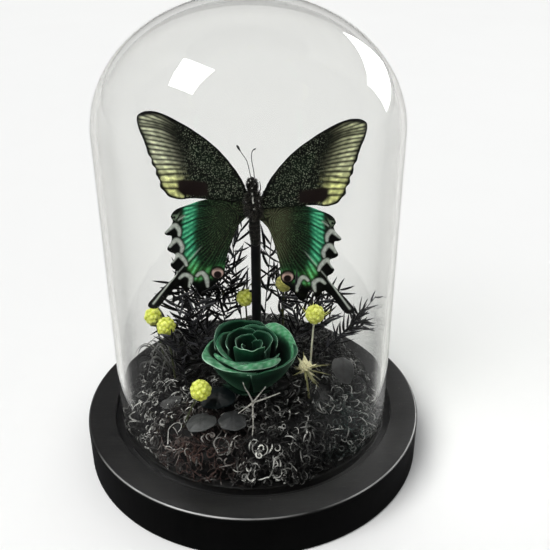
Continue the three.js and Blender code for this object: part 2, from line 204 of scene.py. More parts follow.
def add_piece(name, points, faces, finish, nodes=(), colours=None, stage=False):
    """A mesh object from points in mm and faces given as index arrays. It stands for the CAD nodes named."""
    mesh = bpy.data.meshes.new(name)
    rows = [row for block in faces for row in np.asarray(block).tolist()]
    mesh.from_pydata((np.asarray(points, float) * MM).tolist(), [], rows)
    mesh.polygons.foreach_set("use_smooth", np.ones(len(mesh.polygons), bool))
    for label, values in (colours or {}).items():
        layer = mesh.attributes.new(label, "FLOAT_COLOR", "POINT")
        full = np.ones((len(points), 4))
        full[:, :3] = values
        layer.data.foreach_set("color", full.ravel())
    mesh.materials.append(finish)
    mesh.update()
    piece = bpy.data.objects.new(name, mesh)
    scene.collection.objects.link(piece)
    if stage:
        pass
    else:
        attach(piece, "root")
    if nodes:
        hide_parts(*nodes)


class Parts:
    """Gathers pieces of mesh, with a colour for each point, to join them in one object."""

    def __init__(self):
        self.points = []
        self.faces = []
        self.tones = []
        self.count = 0

    def add(self, points, faces, tone):
        points = np.asarray(points, float).reshape(-1, 3)
        self.points.append(points)
        self.tones.append(np.broadcast_to(np.asarray(tone, float), points.shape))
        self.faces.extend(np.asarray(block) + self.count for block in faces)
        self.count += len(points)

    def make(self, name, finish, slot, node):
        tones = {"tone": np.concatenate(self.tones)}
        add_piece(name, np.concatenate(self.points), self.faces, finish, [node], tones)


BLADE_SIDES = 6


def unit(vectors):
    return vectors / np.maximum(np.linalg.norm(vectors, axis=-1, keepdims=True), 1e-9)


def polar(radius, angle, height):
    """Places given by their distance from the Z axis, their angle round it and their height."""
    return np.stack(np.broadcast_arrays(radius * np.cos(angle), radius * np.sin(angle), height), axis=-1)


def bezier(start, middle, end, steps):
    """A curve of that many points, from start to end, that leans toward middle."""
    start, middle, end = (np.asarray(place, float) for place in (start, middle, end))
    share = np.linspace(0, 1, steps)[:, None]
    return (1 - share) ** 2 * start + 2 * share * (1 - share) * middle + share**2 * end


def strands(roots, aims, bows, sizes, steps):
    """Paths from roots along aims, bent more and more along bows. sizes is (n, 1)."""
    share = np.linspace(0, 1, steps)[:, None]
    return roots[:, None] + sizes[:, None] * (aims[:, None] * share + bows[:, None] * share**2)


def blend(tone, colour, share):
    """Colours taken a share of the way to another colour."""
    return tone + (colour - tone) * np.asarray(share)[..., None]


def quads_of(index, wrap):
    """Quads over a grid of point numbers, whose columns close to a ring where wrap is true."""
    here, ahead = (index, np.roll(index, -1, axis=1)) if wrap else (index[:, :-1], index[:, 1:])
    return np.stack([here[:-1], here[1:], ahead[1:], ahead[:-1]], axis=-1).reshape(-1, 4)


def wall(rim, shift):
    """Quads from a closed rim of point numbers to the same rim with its numbers shifted."""
    after = np.roll(rim, -1)
    return np.stack([rim, rim + shift, after + shift, after], axis=-1)


def tubes(paths, radii, sides, flatten=1.0):
    """Closed tubes along many paths at once. paths is (n, steps, 3), and radii is (n, steps).

    flatten is the share of the radius kept across the tube's second axis, for blades."""
    count, steps, _ = paths.shape
    along = unit(np.gradient(paths, axis=1))
    helper = np.where(np.abs(along[:, :1, 2:]) > 0.9, [[[1.0, 0, 0]]], [[[0, 0, 1.0]]])
    side = unit(np.cross(along[:, 0], helper[:, 0]))
    angles = 2 * np.pi * np.arange(sides)[:, None] / sides
    rings = []
    for step in range(steps):
        direction = along[:, step]
        side = unit(side - np.sum(side * direction, axis=1, keepdims=True) * direction)
        other = np.cross(direction, side) * flatten
        outward = np.cos(angles) * side[:, None] + np.sin(angles) * other[:, None]
        rings.append(paths[:, step, None] + radii[:, step, None, None] * outward)
    points = np.stack(rings, axis=1).reshape(-1, 3)
    index = np.arange(count * steps * sides).reshape(count, steps, sides)
    after = np.roll(index, -1, axis=2)
    quads = np.stack([index[:, :-1], after[:, :-1], after[:, 1:], index[:, 1:]], axis=-1).reshape(-1, 4)
    caps = np.concatenate([index[:, 0, ::-1], index[:, -1]])
    return points, [quads, caps]


def stalk(line, root, tip, sides):
    """One tube along a line, whose radius runs from root to tip."""
    return tubes(line[None], np.linspace(root, tip, len(line))[None], sides)


def blades(paths, profile, spread, flatten, picks):
    """Flattened tubes along paths. profile gives their half widths, and spread how much these vary."""
    radii = profile * picks.uniform(1 - spread, 1 + spread, (len(paths), 1))
    return tubes(paths, radii, BLADE_SIDES, flatten)


def balls(centres, radii, rows, columns):
    """Many closed balls at once. radii is (n,) or (n, 3) for ellipsoids."""
    centres = np.asarray(centres, float).reshape(-1, 3)
    radii = np.asarray(radii, float)
    radii = np.repeat(radii[:, None], 3, axis=1) if radii.ndim == 1 else radii
    rise = np.pi * np.arange(1, rows)[:, None] / rows
    turn = 2 * np.pi * np.arange(columns) / columns
    ball = np.concatenate([[[0, 0, 1]], polar(np.sin(rise), turn, np.cos(rise)).reshape(-1, 3), [[0, 0, -1]]])
    points = centres[:, None] + ball[None] * radii[:, None]
    ring = 1 + np.arange((rows - 1) * columns).reshape(rows - 1, columns)
    after = np.roll(ring, -1, axis=1)
    top = np.stack([np.zeros(columns, int), ring[0], after[0]], axis=-1)
    low = np.stack([np.full(columns, len(ball) - 1), after[-1], ring[-1]], axis=-1)
    shift = np.arange(len(centres))[:, None, None] * len(ball)
    blocks = quads_of(ring, True), np.concatenate([top, low])
    return points.reshape(-1, 3), [(block[None] + shift).reshape(-1, block.shape[1]) for block in blocks]


def turned(profile, segments):
    """A body of revolution from (radius, height) pairs, where a radius of 0 is a point on the axis."""
    angles = 2 * np.pi * np.arange(segments) / segments
    points, rings = [], []
    for radius, height in profile:
        start = len(points)
        if radius == 0:
            points.append((0, 0, height))
            rings.append([start] * segments)
        else:
            points.extend((radius * math.cos(a), radius * math.sin(a), height) for a in angles)
            rings.append(list(range(start, start + segments)))
    quads, triangles = [], []
    for low, high in zip(rings, rings[1:]):
        for i in range(segments):
            j = (i + 1) % segments
            if low[0] == low[-1]:
                triangles.append((low[i], high[j], high[i]))
            elif high[0] == high[-1]:
                triangles.append((low[i], low[j], high[i]))
            else:
                quads.append((low[i], low[j], high[j], high[i]))
    return np.array(points, float), [block for block in (quads, triangles) if block]


def smooth_line(points, steps):
    """A Catmull-Rom line through points, with that many steps between each pair."""
    points = np.asarray(points, float)
    padded = np.concatenate([[2 * points[0] - points[1]], points, [2 * points[-1] - points[-2]]])
    share = np.linspace(0, 1, steps, endpoint=False)[:, None]
    line = []
    for a, b, c, d in zip(padded, padded[1:], padded[2:], padded[3:]):
        line.append(0.5 * (
            2 * b + (c - a) * share + (2 * a - 5 * b + 4 * c - d) * share**2
            + (3 * b - a - 3 * c + d) * share**3
        ))
    return np.concatenate([*line, points[-1:]])


def smoothstep(low, high, value):
    share = np.clip((value - low) / (high - low), 0, 1)
    return share * share * (3 - 2 * share)


# ---- Stage: pale floor, light and surroundings ----

FLOOR_COLOUR = (0.86, 0.86, 0.85)
ROOM_COLOUR = (0.93, 0.94, 0.95)
FLOOR_REACH = 9000
# What the glass mirrors of the floor and the room: darker, as black cards round it make it, and darkest from
# the front. A bounce inside the glass near the dome's rim sees IN_RIM, or a FLANK far out to the side.
MIRRORED = (0.11, 0.11, 0.115)
IN_RIM = (0.46, 0.46, 0.45)
ROOM_FLANK = (1.90, 1.90, 1.87)
FLOOR_IN_RIM = (0.10, 0.10, 0.10)
FLOOR_FLANK = (0.92, 0.92, 0.90)
FRONT_MIRRORED = (0.004, 0.004, 0.004)


def mirrored_tone(n, plain, behind, mirrored, in_rim):
    """The plain colour, or a darker one once light has bounced, where in_rim is for a bounce inside the glass wall.

    behind runs from 0 in front of the object to 1 behind it."""
    path = n.add("ShaderNodeLightPath")
    bounced = n.maths("GREATER_THAN", path.outputs["Glossy Depth"], 0.5)
    faces = path.outputs["Transmission Depth"]
    passed = n.maths("MULTIPLY", n.maths("GREATER_THAN", faces, 0.5), n.maths("LESS_THAN", faces, 2.5))
    return n.mix(bounced, plain, n.mix(behind, FRONT_MIRRORED, n.mix(passed, mirrored, in_rim)))


def add_floor():
    finish, n = material("floor")
    pale = n.times(FLOOR_COLOUR, n.remap(n.noise(9.0), 0.3, 0.7, 0.99, 1.0))
    across, along, _ = n.axes()
    behind = n.remap(along, -0.12, 0.0)
    # How far a place lies aside from the strip behind the dome, against how far behind it lies.
    # 0 is straight behind.
    beside = n.maths("SUBTRACT", n.maths("ABSOLUTE", across, 0.0), 0.055)
    beyond = n.maths("MAXIMUM", n.maths("ADD", along, 0.024), 0.001)
    flank = n.remap(n.maths("DIVIDE", beside, beyond), 0.8, 2.2, 1.0, 0.0)
    flank = n.maths("MULTIPLY", flank, n.remap(along, -0.03, 0.0))
    mirrored, in_rim = (n.mix(flank, colour, FLOOR_FLANK) for colour in (MIRRORED, FLOOR_IN_RIM))
    n.surface(mirrored_tone(n, pale, behind, mirrored, in_rim), 0.9, Specular_IOR_Level=0.1)
    corners = [(x * FLOOR_REACH, y * FLOOR_REACH, 0) for x, y in [(-1, -1), (1, -1), (1, 1), (-1, 1)]]
    add_piece("floor", corners, [[(0, 1, 2, 3)]], finish, stage=True)


def add_room():
    world = bpy.data.worlds.new("room")
    world.use_nodes = True
    scene.world = world
    n = Nodes(world.node_tree)
    _, along, _ = n.axes(n.add("ShaderNodeTexCoord").outputs["Generated"])
    in_rim = n.mix(n.remap(along, 0.35, 0.75), IN_RIM, ROOM_FLANK)
    colour = mirrored_tone(n, ROOM_COLOUR, n.remap(along, -0.25, 0.1), MIRRORED, in_rim)
    background = n.add("ShaderNodeBackground", None, Strength=0.5, Color=colour)
    n.add("ShaderNodeOutputWorld", None, Surface=background.outputs[0])


def aimed(name, data, way, turn=0.0):
    """A light that shines along a way, turned about it by degrees. It isn't seen through the glass."""
    lamp = bpy.data.objects.new(name, data)
    lamp.rotation_euler = Vector(way).to_track_quat("-Z", "Y").to_euler()
    lamp.rotation_euler.rotate_axis("Z", math.radians(turn))
    lamp.visible_transmission = False
    scene.collection.objects.link(lamp)
    return lamp


def add_lamp(name, place, target, size, power, turn=0.0):
    """A rectangular lamp that only shows in reflections."""
    data = bpy.data.lights.new(name, "AREA")
    data.shape = "RECTANGLE"
    data.size, data.size_y = size
    data.energy = power
    lamp = aimed(name, data, Vector(target) - Vector(place), turn)
    lamp.location = place
    lamp.visible_camera = False
    lamp.visible_diffuse = False


def add_daylight():
    """A broad soft light from the upper left front, which the glass doesn't mirror."""
    data = bpy.data.lights.new("daylight", "SUN")
    data.energy = 2.6
    data.angle = math.radians(40)
    aimed("daylight", data, (0.5, 0.42, -0.8)).visible_glossy = False


def add_lights():
    add_lamp("ceiling", (-0.66, -0.09, 1.18), (-0.66, -0.09, 0), (0.50, 0.46), 11, turn=39)
    add_lamp("window", (0.88, 0.78, 0.46), (0, 0, 0.17), (0.76, 0.44), 9)
    add_daylight()


def set_look():
    scene.view_settings.view_transform = "Standard"
    scene.view_settings.look = "None"
    scene.cycles.use_denoising = True
    scene.cycles.max_bounces = 18
    scene.cycles.diffuse_bounces = 3
    scene.cycles.glossy_bounces = 6
    scene.cycles.transmission_bounces = 16
    scene.cycles.transparent_max_bounces = 16
    scene.cycles.sample_clamp_indirect = 4


add_floor()
add_room()
add_lights()
set_look()

# ---- Wooden base ----

FINE_TURN = 256
PAINT_DARK = (0.0045, 0.0045, 0.0048)
PAINT_LIGHT = (0.0105, 0.0100, 0.0097)
PAINT_CLOUD = (0.0145, 0.0138, 0.013)
PAINT_DUST = (0.34, 0.32, 0.28)
PAINT_BEVEL_HIGHLIGHT = (0.40, 0.40, 0.39)
BEVEL_SHINE = (247, 329)  # directions in which the painted highlight on the bevel is brightest, in degrees from +X


def rounded(corner, before, after, radius, steps=4):
    """The short arc that rounds a corner of a profile."""
    corner, before, after = (np.asarray(p, float) for p in (corner, before, after))
    start = corner + unit(before - corner) * radius
    end = corner + unit(after - corner) * radius
    return [tuple(p) for p in bezier(start, corner, end, steps + 1)]


def base_finish():
    """Black paint over a faint grain, with painted shade darkening the side, rare dust and a painted highlight
    along the bevel's top.
    """
    finish, n = material("black_wood")
    stretched = n.stretched((1, 7, 1))
    grain = n.noise(90, 5, 0.6, stretched)
    pores = n.remap(n.noise(420, 3, 0.6, stretched), 0.62, 0.75)
    cloud = n.noise(28, 3)
    base = n.mix(n.remap(grain, 0.35, 0.7), PAINT_DARK, PAINT_LIGHT)
    base = n.mix(n.remap(cloud, 0.35, 0.75, 0, 0.6), base, PAINT_CLOUD)
    across, depth, level = n.axes()
    # Painted shade: the side, below the top's edge, is darkened to under a fifth of its tone.
    base = n.times(base, n.remap(level, 0.0190, 0.0197, 0.18, 1.0))
    dust = n.remap(n.cells(260), 0.035, 0.075, 1, 0)
    rare = n.remap(n.noise(60, 2), 0.58, 0.64)
    base = n.mix(n.maths("MULTIPLY", dust, rare), base, PAINT_DUST)
    squares = n.maths("ADD", n.maths("MULTIPLY", across, across), n.maths("MULTIPLY", depth, depth))
    reach = n.maths("SQRT", squares, 0)
    # Painted highlight along the bevel's top, brightest toward the BEVEL_SHINE directions and patchy; worn holds
    # its strength.
    bevel = n.maths("MULTIPLY", n.remap(reach, 0.07405, 0.0742), n.remap(level, 0.01955, 0.01965))
    worn = 0.03
    for turn in BEVEL_SHINE:
        along_x = n.maths("MULTIPLY", across, math.cos(math.radians(turn)))
        along_y = n.maths("MULTIPLY", depth, math.sin(math.radians(turn)))
        worn = n.maths("ADD", worn, n.remap(n.maths("ADD", along_x, along_y), 0.057, 0.0745))
    patchy = n.remap(n.noise(70, 3), 0.25, 0.6, 0.35, 1.0)
    base = n.mix(n.maths("MULTIPLY", n.maths("MULTIPLY", bevel, patchy), worn), base, PAINT_BEVEL_HIGHLIGHT)
    height = n.maths("ADD", n.maths("MULTIPLY", grain, 0.5), n.maths("MULTIPLY", pores, -0.35))
    rough = n.remap(cloud, 0.3, 0.7, 0.36, 0.50)
    n.surface(base, rough, n.bump(height, 0.00012), Coat_Weight=0.15, Coat_Roughness=0.3)
    return finish


def add_base():
    inner, outer = GROOVE_INNER, GROOVE_OUTER
    floor = BASE_HEIGHT - GROOVE_DEPTH
    corners = [
        (BASE_RADIUS - BASE_EDGE, 0), (BASE_RADIUS, BASE_EDGE), (BASE_RADIUS, BASE_HEIGHT - BASE_EDGE),
        (BASE_RADIUS - BASE_EDGE, BASE_HEIGHT), (outer, BASE_HEIGHT), (outer, floor), (inner, floor),
        (inner, BASE_HEIGHT),
    ]
    path = [(0, 0), *corners, (POST_RADIUS + 2, BASE_HEIGHT)]
    profile = [(0, 0), (BASE_RADIUS * 0.6, 0)]
    for before, corner, after in zip(path, path[1:], path[2:]):
        profile.extend(rounded(corner, before, after, 0.3))
    profile.extend([(POST_RADIUS + 2, BASE_HEIGHT), (0, BASE_HEIGHT)])
    points, faces = turned(profile, FINE_TURN)
    add_piece("base", points, faces, base_finish(), ["wood_base"])


add_base()

# ---- Glass dome ----

CROWN_STEPS = 40


def glass_finish():
    """Clear glass, which lets shadow rays straight through."""
    finish, n = material("clear_glass")
    glass = n.principled((0.985, 0.987, 0.975), 0.0, Transmission_Weight=1.0, IOR=1.5)
    clear = n.add("ShaderNodeBsdfTransparent", None, Color=(0.97, 0.975, 0.965))
    shadow = n.add("ShaderNodeLightPath").outputs["Is Shadow Ray"]
    mix = n.add("ShaderNodeMixShader", None, i0=shadow, i1=glass, i2=clear.outputs[0])
    n.add("ShaderNodeOutputMaterial", None, Surface=mix.outputs[0])
    return finish


def dome_crown(inset):
    """The dome's round top from its shoulder up, set in from the outside by a wall or nothing."""
    radius = DOME_RADIUS - inset
    rise = DOME_TOP - DOME_SHOULDER - inset
    angles = np.linspace(0, math.pi / 2, CROWN_STEPS + 1)[:-1]
    return [(radius * math.cos(a), DOME_SHOULDER + rise * math.sin(a)) for a in angles]


def add_dome():
    foot = BASE_HEIGHT - GROOVE_DEPTH + GAP
    inner = DOME_RADIUS - DOME_WALL
    lip = DOME_WALL / 2
    bottom = np.linspace(0, math.pi, 11)
    lip_arc = [(inner + lip - lip * math.cos(a), foot + lip * (1 - math.sin(a))) for a in bottom]
    wall_heights = np.linspace(foot + lip, DOME_SHOULDER, 8)[1:-1]
    profile = [
        (0.0, DOME_TOP - DOME_WALL), *dome_crown(DOME_WALL)[::-1], *((inner, z) for z in wall_heights[::-1]),
        *lip_arc, *((DOME_RADIUS, z) for z in wall_heights), *dome_crown(0), (0.0, DOME_TOP),
    ]
    points, faces = turned(profile, FINE_TURN)
    add_piece("dome", points, faces, glass_finish(), ["glass_dome"])


add_dome()

# ---- Post ----


def post_finish():
    finish, n = material("black_post")
    fibre = n.noise(700, 3, 0.6, n.stretched((1, 1, 0.12)))
    base = n.mix(n.remap(fibre, 0.35, 0.7), (0.0010, 0.0009, 0.0014), (0.0040, 0.0036, 0.0048))
    n.surface(base, n.remap(fibre, 0.3, 0.7, 0.5, 0.7), n.bump(fibre, 0.0001))
    return finish


def add_post():
    bottom = BASE_HEIGHT - SOCKET_DEPTH + GAP
    heights = np.linspace(bottom + 0.5, POST_TOP - 0.5, 60)
    waver = 1 + 0.012 * np.sin(heights * 0.9) + 0.01 * np.sin(heights * 2.3)
    side = [(POST_RADIUS * w, z) for w, z in zip(waver, heights)]
    rim = POST_RADIUS - 0.4
    points, faces = turned([(0, bottom), (rim, bottom), *side, (rim, POST_TOP), (0, POST_TOP)], 40)
    add_piece("post", points + [POST_X, POST_Y, 0], faces, post_finish(), ["support_post"])


add_post()

# ---- Moss ----

MOSS_BLACK = np.array([0.0016, 0.0015, 0.0017])
# MOSS_GREY is the pale tone of some curls, laid on their raised bends as a painted highlight.
MOSS_GREY = np.array([0.86, 0.86, 0.82])
MOSS_BROWN = np.array([0.085, 0.042, 0.034])
MOSS_TEAL = np.array([0.010, 0.034, 0.030])
MOSS_CURLS = 2300
MOSS_TWIGS = 2600
MOSS_STRANDS = 90
# Soft patches on the mound's unrolled skin: centre and squared width, and for the painted light ones how bright.
# The painted light and painted shadow patches are light and shade painted on the curls; the brown and teal
# ones are the moss's own colour.
PAINTED_LIGHT_PATCHES = [((2, -60), 420, 0.58), ((-42, -28), 460, 0.58), ((46, -32), 300, 0.40)]
PAINTED_SHADOW_PATCH = ((38, -54), 240)
BROWN_PATCH = ((-26, -50), 260)
TEAL_PATCH = ((46, -32), 220)

side_radius, side_height = np.array(MOSS_SIDE[::-1], float).T
side_length = np.concatenate([[0], np.cumsum(np.hypot(np.diff(side_radius), np.diff(side_height)))])
MOSS_REACH = side_length[-1]
# Waves that make the mound lumpy: direction, rate and phase.
LUMPS = [
    (RANDOM.uniform(0, 2 * np.pi), RANDOM.uniform(0.08, 0.3), RANDOM.uniform(0, 2 * np.pi)) for _ in range(9)
]


def mound(flat, height=0.0):
    """The place on the mound of a point of its unrolled skin, raised by a height along the normal."""
    reach = np.clip(np.hypot(flat[..., 0], flat[..., 1]), 0.01, MOSS_REACH)
    angle = np.arctan2(flat[..., 1], flat[..., 0])
    ahead, behind = np.minimum(reach + 3, MOSS_REACH), np.maximum(reach - 3, 0)
    run = np.interp(ahead, side_length, side_radius) - np.interp(behind, side_length, side_radius)
    fall = np.interp(ahead, side_length, side_height) - np.interp(behind, side_length, side_height)
    slope = np.maximum(np.hypot(run, fall), 1e-6)
    lump = sum(np.sin(flat[..., 0] * s * np.cos(a) + flat[..., 1] * s * np.sin(a) + p) for a, s, p in LUMPS)
    rise = height + 0.42 * lump - 0.6
    radius = np.interp(reach, side_length, side_radius) - rise * fall / slope
    level = np.interp(reach, side_length, side_height) + rise * run / slope
    return polar(radius, angle, MOSS_FLOOR + level)


def curls(starts, steps, stride, wander, low, high):
    """Random curling walks over the mound's unrolled skin, raised above it by between low and high.

    Gives their paths in space, their flat places and how far each of these is raised, from 0 to 1."""
    count = len(starts)
    heading = RANDOM.uniform(0, 2 * np.pi, count)
    bend = RANDOM.normal(0, wander, count)
    lift_phase = RANDOM.uniform(0, 2 * np.pi, count)
    lift_rate = RANDOM.uniform(0.25, 0.6, count)
    flat, flats, lifts = starts, [], []
    for step in range(steps):
        flats.append(flat)
        lifts.append(0.5 - 0.5 * np.cos(lift_phase + step * lift_rate))
        heading = heading + bend
        bend = bend + RANDOM.normal(0, 0.11, count)
        flat = flat + stride * np.stack([np.cos(heading), np.sin(heading)], axis=-1)
    flats, lifts = np.stack(flats, axis=1), np.stack(lifts, axis=1)
    return mound(flats, low + (high - low) * lifts), flats, lifts


def patch(where, centre, size):
    """A soft round patch on the unrolled skin: 1 at its centre, and near 0 two square roots of its size away."""
    return np.exp(-np.sum((where - centre) ** 2, axis=1) / size)


def moss_tones(flats, lifts, sides):
    """A colour for every point of every curl: near black, with a painted highlight on the raised bends of some,
    painted light and shade in soft patches, and some brown and teal.
    """
    count = len(flats)
    pale = 0.008 + 0.992 * RANDOM.random(count) ** 5
    where = flats[:, 0]
    # Painted light in soft patches, and a painted shadow at the lower right front.
    bright = 0.42 + sum(strength * patch(where, *spot) for *spot, strength in PAINTED_LIGHT_PATCHES)
    bright *= 1 - 0.75 * patch(where, *PAINTED_SHADOW_PATCH)
    # Painted shade over the middle and back of the mound, under the rose and sprigs, spared near the rear edge.
    rear = smoothstep(36, 54, np.hypot(*where.T))
    bright *= 1 - 0.65 * smoothstep(-16, 6, where[:, 1]) * (1 - rear)
    # Painted highlight: the pale tone shows on the raised bends only.
    shade = blend(MOSS_BLACK, MOSS_GREY, (pale * bright)[:, None] * smoothstep(0.12, 0.72, lifts))
    for colour, strength, spot in [(MOSS_BROWN, 0.9, BROWN_PATCH), (MOSS_TEAL, 0.8, TEAL_PATCH)]:
        share = strength * patch(where, *spot) * RANDOM.random(count)
        shade = blend(shade, colour, share[:, None])
    return np.repeat(shade.reshape(-1, 3), sides, axis=0)


def tuft_of(flat):
    """0 for the middle tuft, and 1 to 6 for the outer ones."""
    radius = np.interp(np.hypot(flat[:, 0], flat[:, 1]), side_length, side_radius)
    turn = np.mod(np.arctan2(flat[:, 1], flat[:, 0]), 2 * np.pi)
    order = 1 + np.floor(turn / (2 * np.pi / MOSS_OUTER_TUFTS)).astype(int) % MOSS_OUTER_TUFTS
    return np.where(radius < MOSS_CENTRE_RADIUS, 0, order)


def tuft_core(order):
    """The dense dark inside of a tuft, as a closed patch of the mound with a flat underside."""
    if order == 0:
        reaches = np.linspace(0.5, MOSS_CENTRE_RADIUS, 14)
        angles = np.linspace(0, 2 * np.pi, 61)[:-1]
    else:
        width = 2 * np.pi / MOSS_OUTER_TUFTS
        reaches = np.linspace(MOSS_CENTRE_RADIUS + 0.5, MOSS_REACH - 0.3, 26)
        angles = np.linspace((order - 1) * width + 0.004, order * width - 0.004, 25)
    grid = polar(reaches[:, None], angles, 0)[..., :2]
    dents = 0.5 * np.sin(grid[..., 0] * 1.9) * np.sin(grid[..., 1] * 2.1)
    top = mound(grid, dents - 1.1)
    low = top.copy()
    low[..., 2] = MOSS_FLOOR
    rows, columns = grid.shape[:2]
    shift = rows * columns
    index = np.arange(shift).reshape(rows, columns)
    quads = quads_of(index, order == 0)
    faces = [quads, quads[:, ::-1] + shift]
    if order == 0:
        faces += [wall(index[0], shift)[:, ::-1], wall(index[-1], shift)]
    else:
        rim = np.concatenate([index[0, ::-1], index[1:, 0], index[-1, 1:], index[-2:0:-1, -1]])
        faces.append(wall(rim, shift))
    return np.concatenate([top.reshape(-1, 3), low.reshape(-1, 3)]), faces


def scatter(count, share):
    """Random starts over the mound's unrolled skin, out to a share of its reach."""
    reach = MOSS_REACH * np.sqrt(RANDOM.random(count)) * share
    return polar(reach, RANDOM.uniform(0, 2 * np.pi, count), 0)[:, :2]


def add_curls(tufts, starts, walk, thick, end, sides=4, pale=0.0):
    """Adds curls to the tufts that they start in, and gives back the flat places they pass.

    walk holds the inputs of curls after starts, and thick the least and greatest radius. end is the share of it
    left at the tips, and pale how much of the painted highlight of a raised bend the low bends have."""
    paths, flats, lifts = curls(starts, *walk)
    radii = RANDOM.uniform(*thick, (len(starts), 1)) * np.linspace(1.1, end, flats.shape[1])
    lifts = pale + (1 - pale) * lifts
    owner = tuft_of(starts)
    for order, tuft in enumerate(tufts):
        mine = owner == order
        tuft.add(*tubes(paths[mine], radii[mine], sides), moss_tones(flats[mine], lifts[mine], sides))
    return flats


def add_moss():
    finish = painted("black_moss", (900, 2), (0.55, 1.45), 0.62, (1500, 2), 0.0001, Specular_IOR_Level=0.3)
    tufts = [Parts() for _ in range(MOSS_OUTER_TUFTS + 1)]
    for order, tuft in enumerate(tufts):
        tuft.add(*tuft_core(order), MOSS_BLACK * 0.6)
    flats = add_curls(tufts, scatter(MOSS_CURLS, 0.985), (14, 0.74, 0.36, -0.7, 2.2), (0.22, 0.38), 0.6)
    parent = RANDOM.integers(0, MOSS_CURLS, MOSS_TWIGS)
    joint = RANDOM.integers(2, flats.shape[1] - 1, MOSS_TWIGS)
    add_curls(tufts, flats[parent, joint], (7, 0.62, 0.5, 0.2, 2.5), (0.17, 0.28), 0.5)
    add_curls(tufts, scatter(MOSS_STRANDS, 0.9), (15, 1.1, 0.08, 1.2, 2.8), (0.20, 0.30), 0.6, sides=5, pale=0.4)
    tufts[0].make("moss_middle", finish, "black_moss", "moss_centre")
    for order, tuft in enumerate(tufts[1:], 1):
        tuft.make(f"moss_{order}", finish, "black_moss", f"moss_tuft_{order}")


add_moss()

# ---- Butterfly ----

BODY_X = 1.3
BODY_LEAN = -0.04
BODY_MIDDLE = 114
FOREWING_ROOT = 124.8
HINDWING_ROOT = 114
HINDWING_SETBACK = 0.9
WING_THICKNESS = 0.26
WING_PITCH = 0.38
RIGHT_FOREWING = {"drop": 3.4, "droop": 0.5}  # how much lower the right wings sit, in mm and degrees
RIGHT_HINDWING = {"drop": 1.5, "droop": 3.5}

# Distance outward from the middle line, and height above the wing's root, along each wing's edge.
FOREWING_EDGE = [
    (2.6, -1), (3.4, 1.2), (6.3, 6.8), (10.5, 12.9), (14.8, 17.9), (19.5, 22), (25, 26), (30.7, 29.4),
    (36.2, 31.8), (40.2, 32.2), (42.9, 31.3), (44.2, 29.6), (43.9, 25.4), (42.4, 20.6), (41.6, 17.4), (41.2, 15),
    (40, 12.8), (40, 10.6), (38.6, 8.5), (38.7, 6.2), (37.2, 4), (37.3, 1.5), (35.8, -0.4), (34.4, -2.4),
    (32.4, -3.3), (29, -4), (23.8, -3.5), (10, -4.6), (2.4, -5.6),
]
HINDWING_EDGE = [
    (2.2, 5), (12, 7), (21, 6), (26.8, 4), (31.9, 1.9), (33.9, -0.9), (33.2, -3.1), (34.6, -5.6), (36.9, -8),
    (36.1, -9.4), (34.2, -9.8), (34.5, -12.4), (36.3, -15.4), (35.6, -16.9), (33.2, -18.3), (33.6, -20.4),
    (35.4, -22.9), (34.6, -24.8), (32.7, -26.5), (35.2, -30), (40.2, -35), (45.9, -41.3), (46.2, -43.6),
    (44, -44.6), (41.5, -43.4), (37.2, -38), (33.4, -33.6), (31.2, -34), (29.8, -36.6), (28.4, -35.8),
    (27.3, -33.2), (25.2, -34), (23.6, -38), (22, -38.7), (20.6, -37), (18.6, -34.4), (16.6, -32),
    (14.8, -30.8), (13.4, -29.4), (12.7, -27.6), (12.4, -24), (11.2, -18.6), (9.1, -12.1), (6.4, -5.4),
    (3.4, -2), (2.2, -1.4),
]
# Veins, as lines through points. Those that reach the outer edge come first, from the tip down.
FOREWING_RAYS = [
    [(20, 18.4), (30, 26.6), (40.5, 31.9)],
    [(23, 19.4), (33, 26.2), (43.9, 29.3)],
    [(25.4, 19.6), (35, 24.9), (43.9, 26.4)],
    [(25.6, 18.2), (35, 21.6), (43, 23.1)],
    [(25.8, 15.6), (34, 17.9), (42, 19.3)],
    [(25.4, 12.6), (33, 14.2), (40.9, 15)],
    [(22.6, 9.2), (31, 10.4), (39.5, 10.4)],
    [(17.6, 5.9), (28, 6.6), (38.3, 5.9)],
    [(3.4, -2.4), (14, -0.6), (26, 0.5), (36.8, 1)],
]
FOREWING_STEMS = [
    [(3.4, -0.6), (10, 9.4), (17.2, 16.6), (23, 19.6), (25.6, 19.2)],
    [(3.4, -1.4), (10, 2.4), (17.6, 5.9), (22.6, 9.2), (25.4, 12.6), (25.8, 15.6), (25.6, 19.2)],
    [(12.2, 12), (20, 20.4), (27, 26.4)],
    [(17.4, 16.8), (26, 24.6), (34, 30.4)],
]
HINDWING_RAYS = [
    [(11, 2.4), (20, 3.6), (28.6, 3.1), (33.9, -0.9)],
    [(15.4, -1), (24, -2.4), (31, -5.6), (36.7, -8)],
    [(17.6, -5.4), (26, -9.2), (36.1, -15.2)],
    [(18.2, -8.4), (26, -14), (35.2, -22.7)],
    [(17.6, -12), (25, -19.6), (32, -27.4), (44.8, -42.8)],
    [(15.2, -12.6), (21.6, -22), (29.8, -36)],
    [(11.6, -9.8), (16.8, -22), (22.6, -38)],
]
HINDWING_STEMS = [
    [(3.4, 2.6), (11, 2.4), (15.4, -1), (17.6, -5.4), (18.2, -8.4)],
    [(3.4, 1), (8.6, -5), (11.6, -9.8), (15.2, -12.6), (17.6, -12), (18.2, -8.4)],
    [(3.4, 0), (7.6, -8.4), (11.4, -18), (13.8, -25)],
]

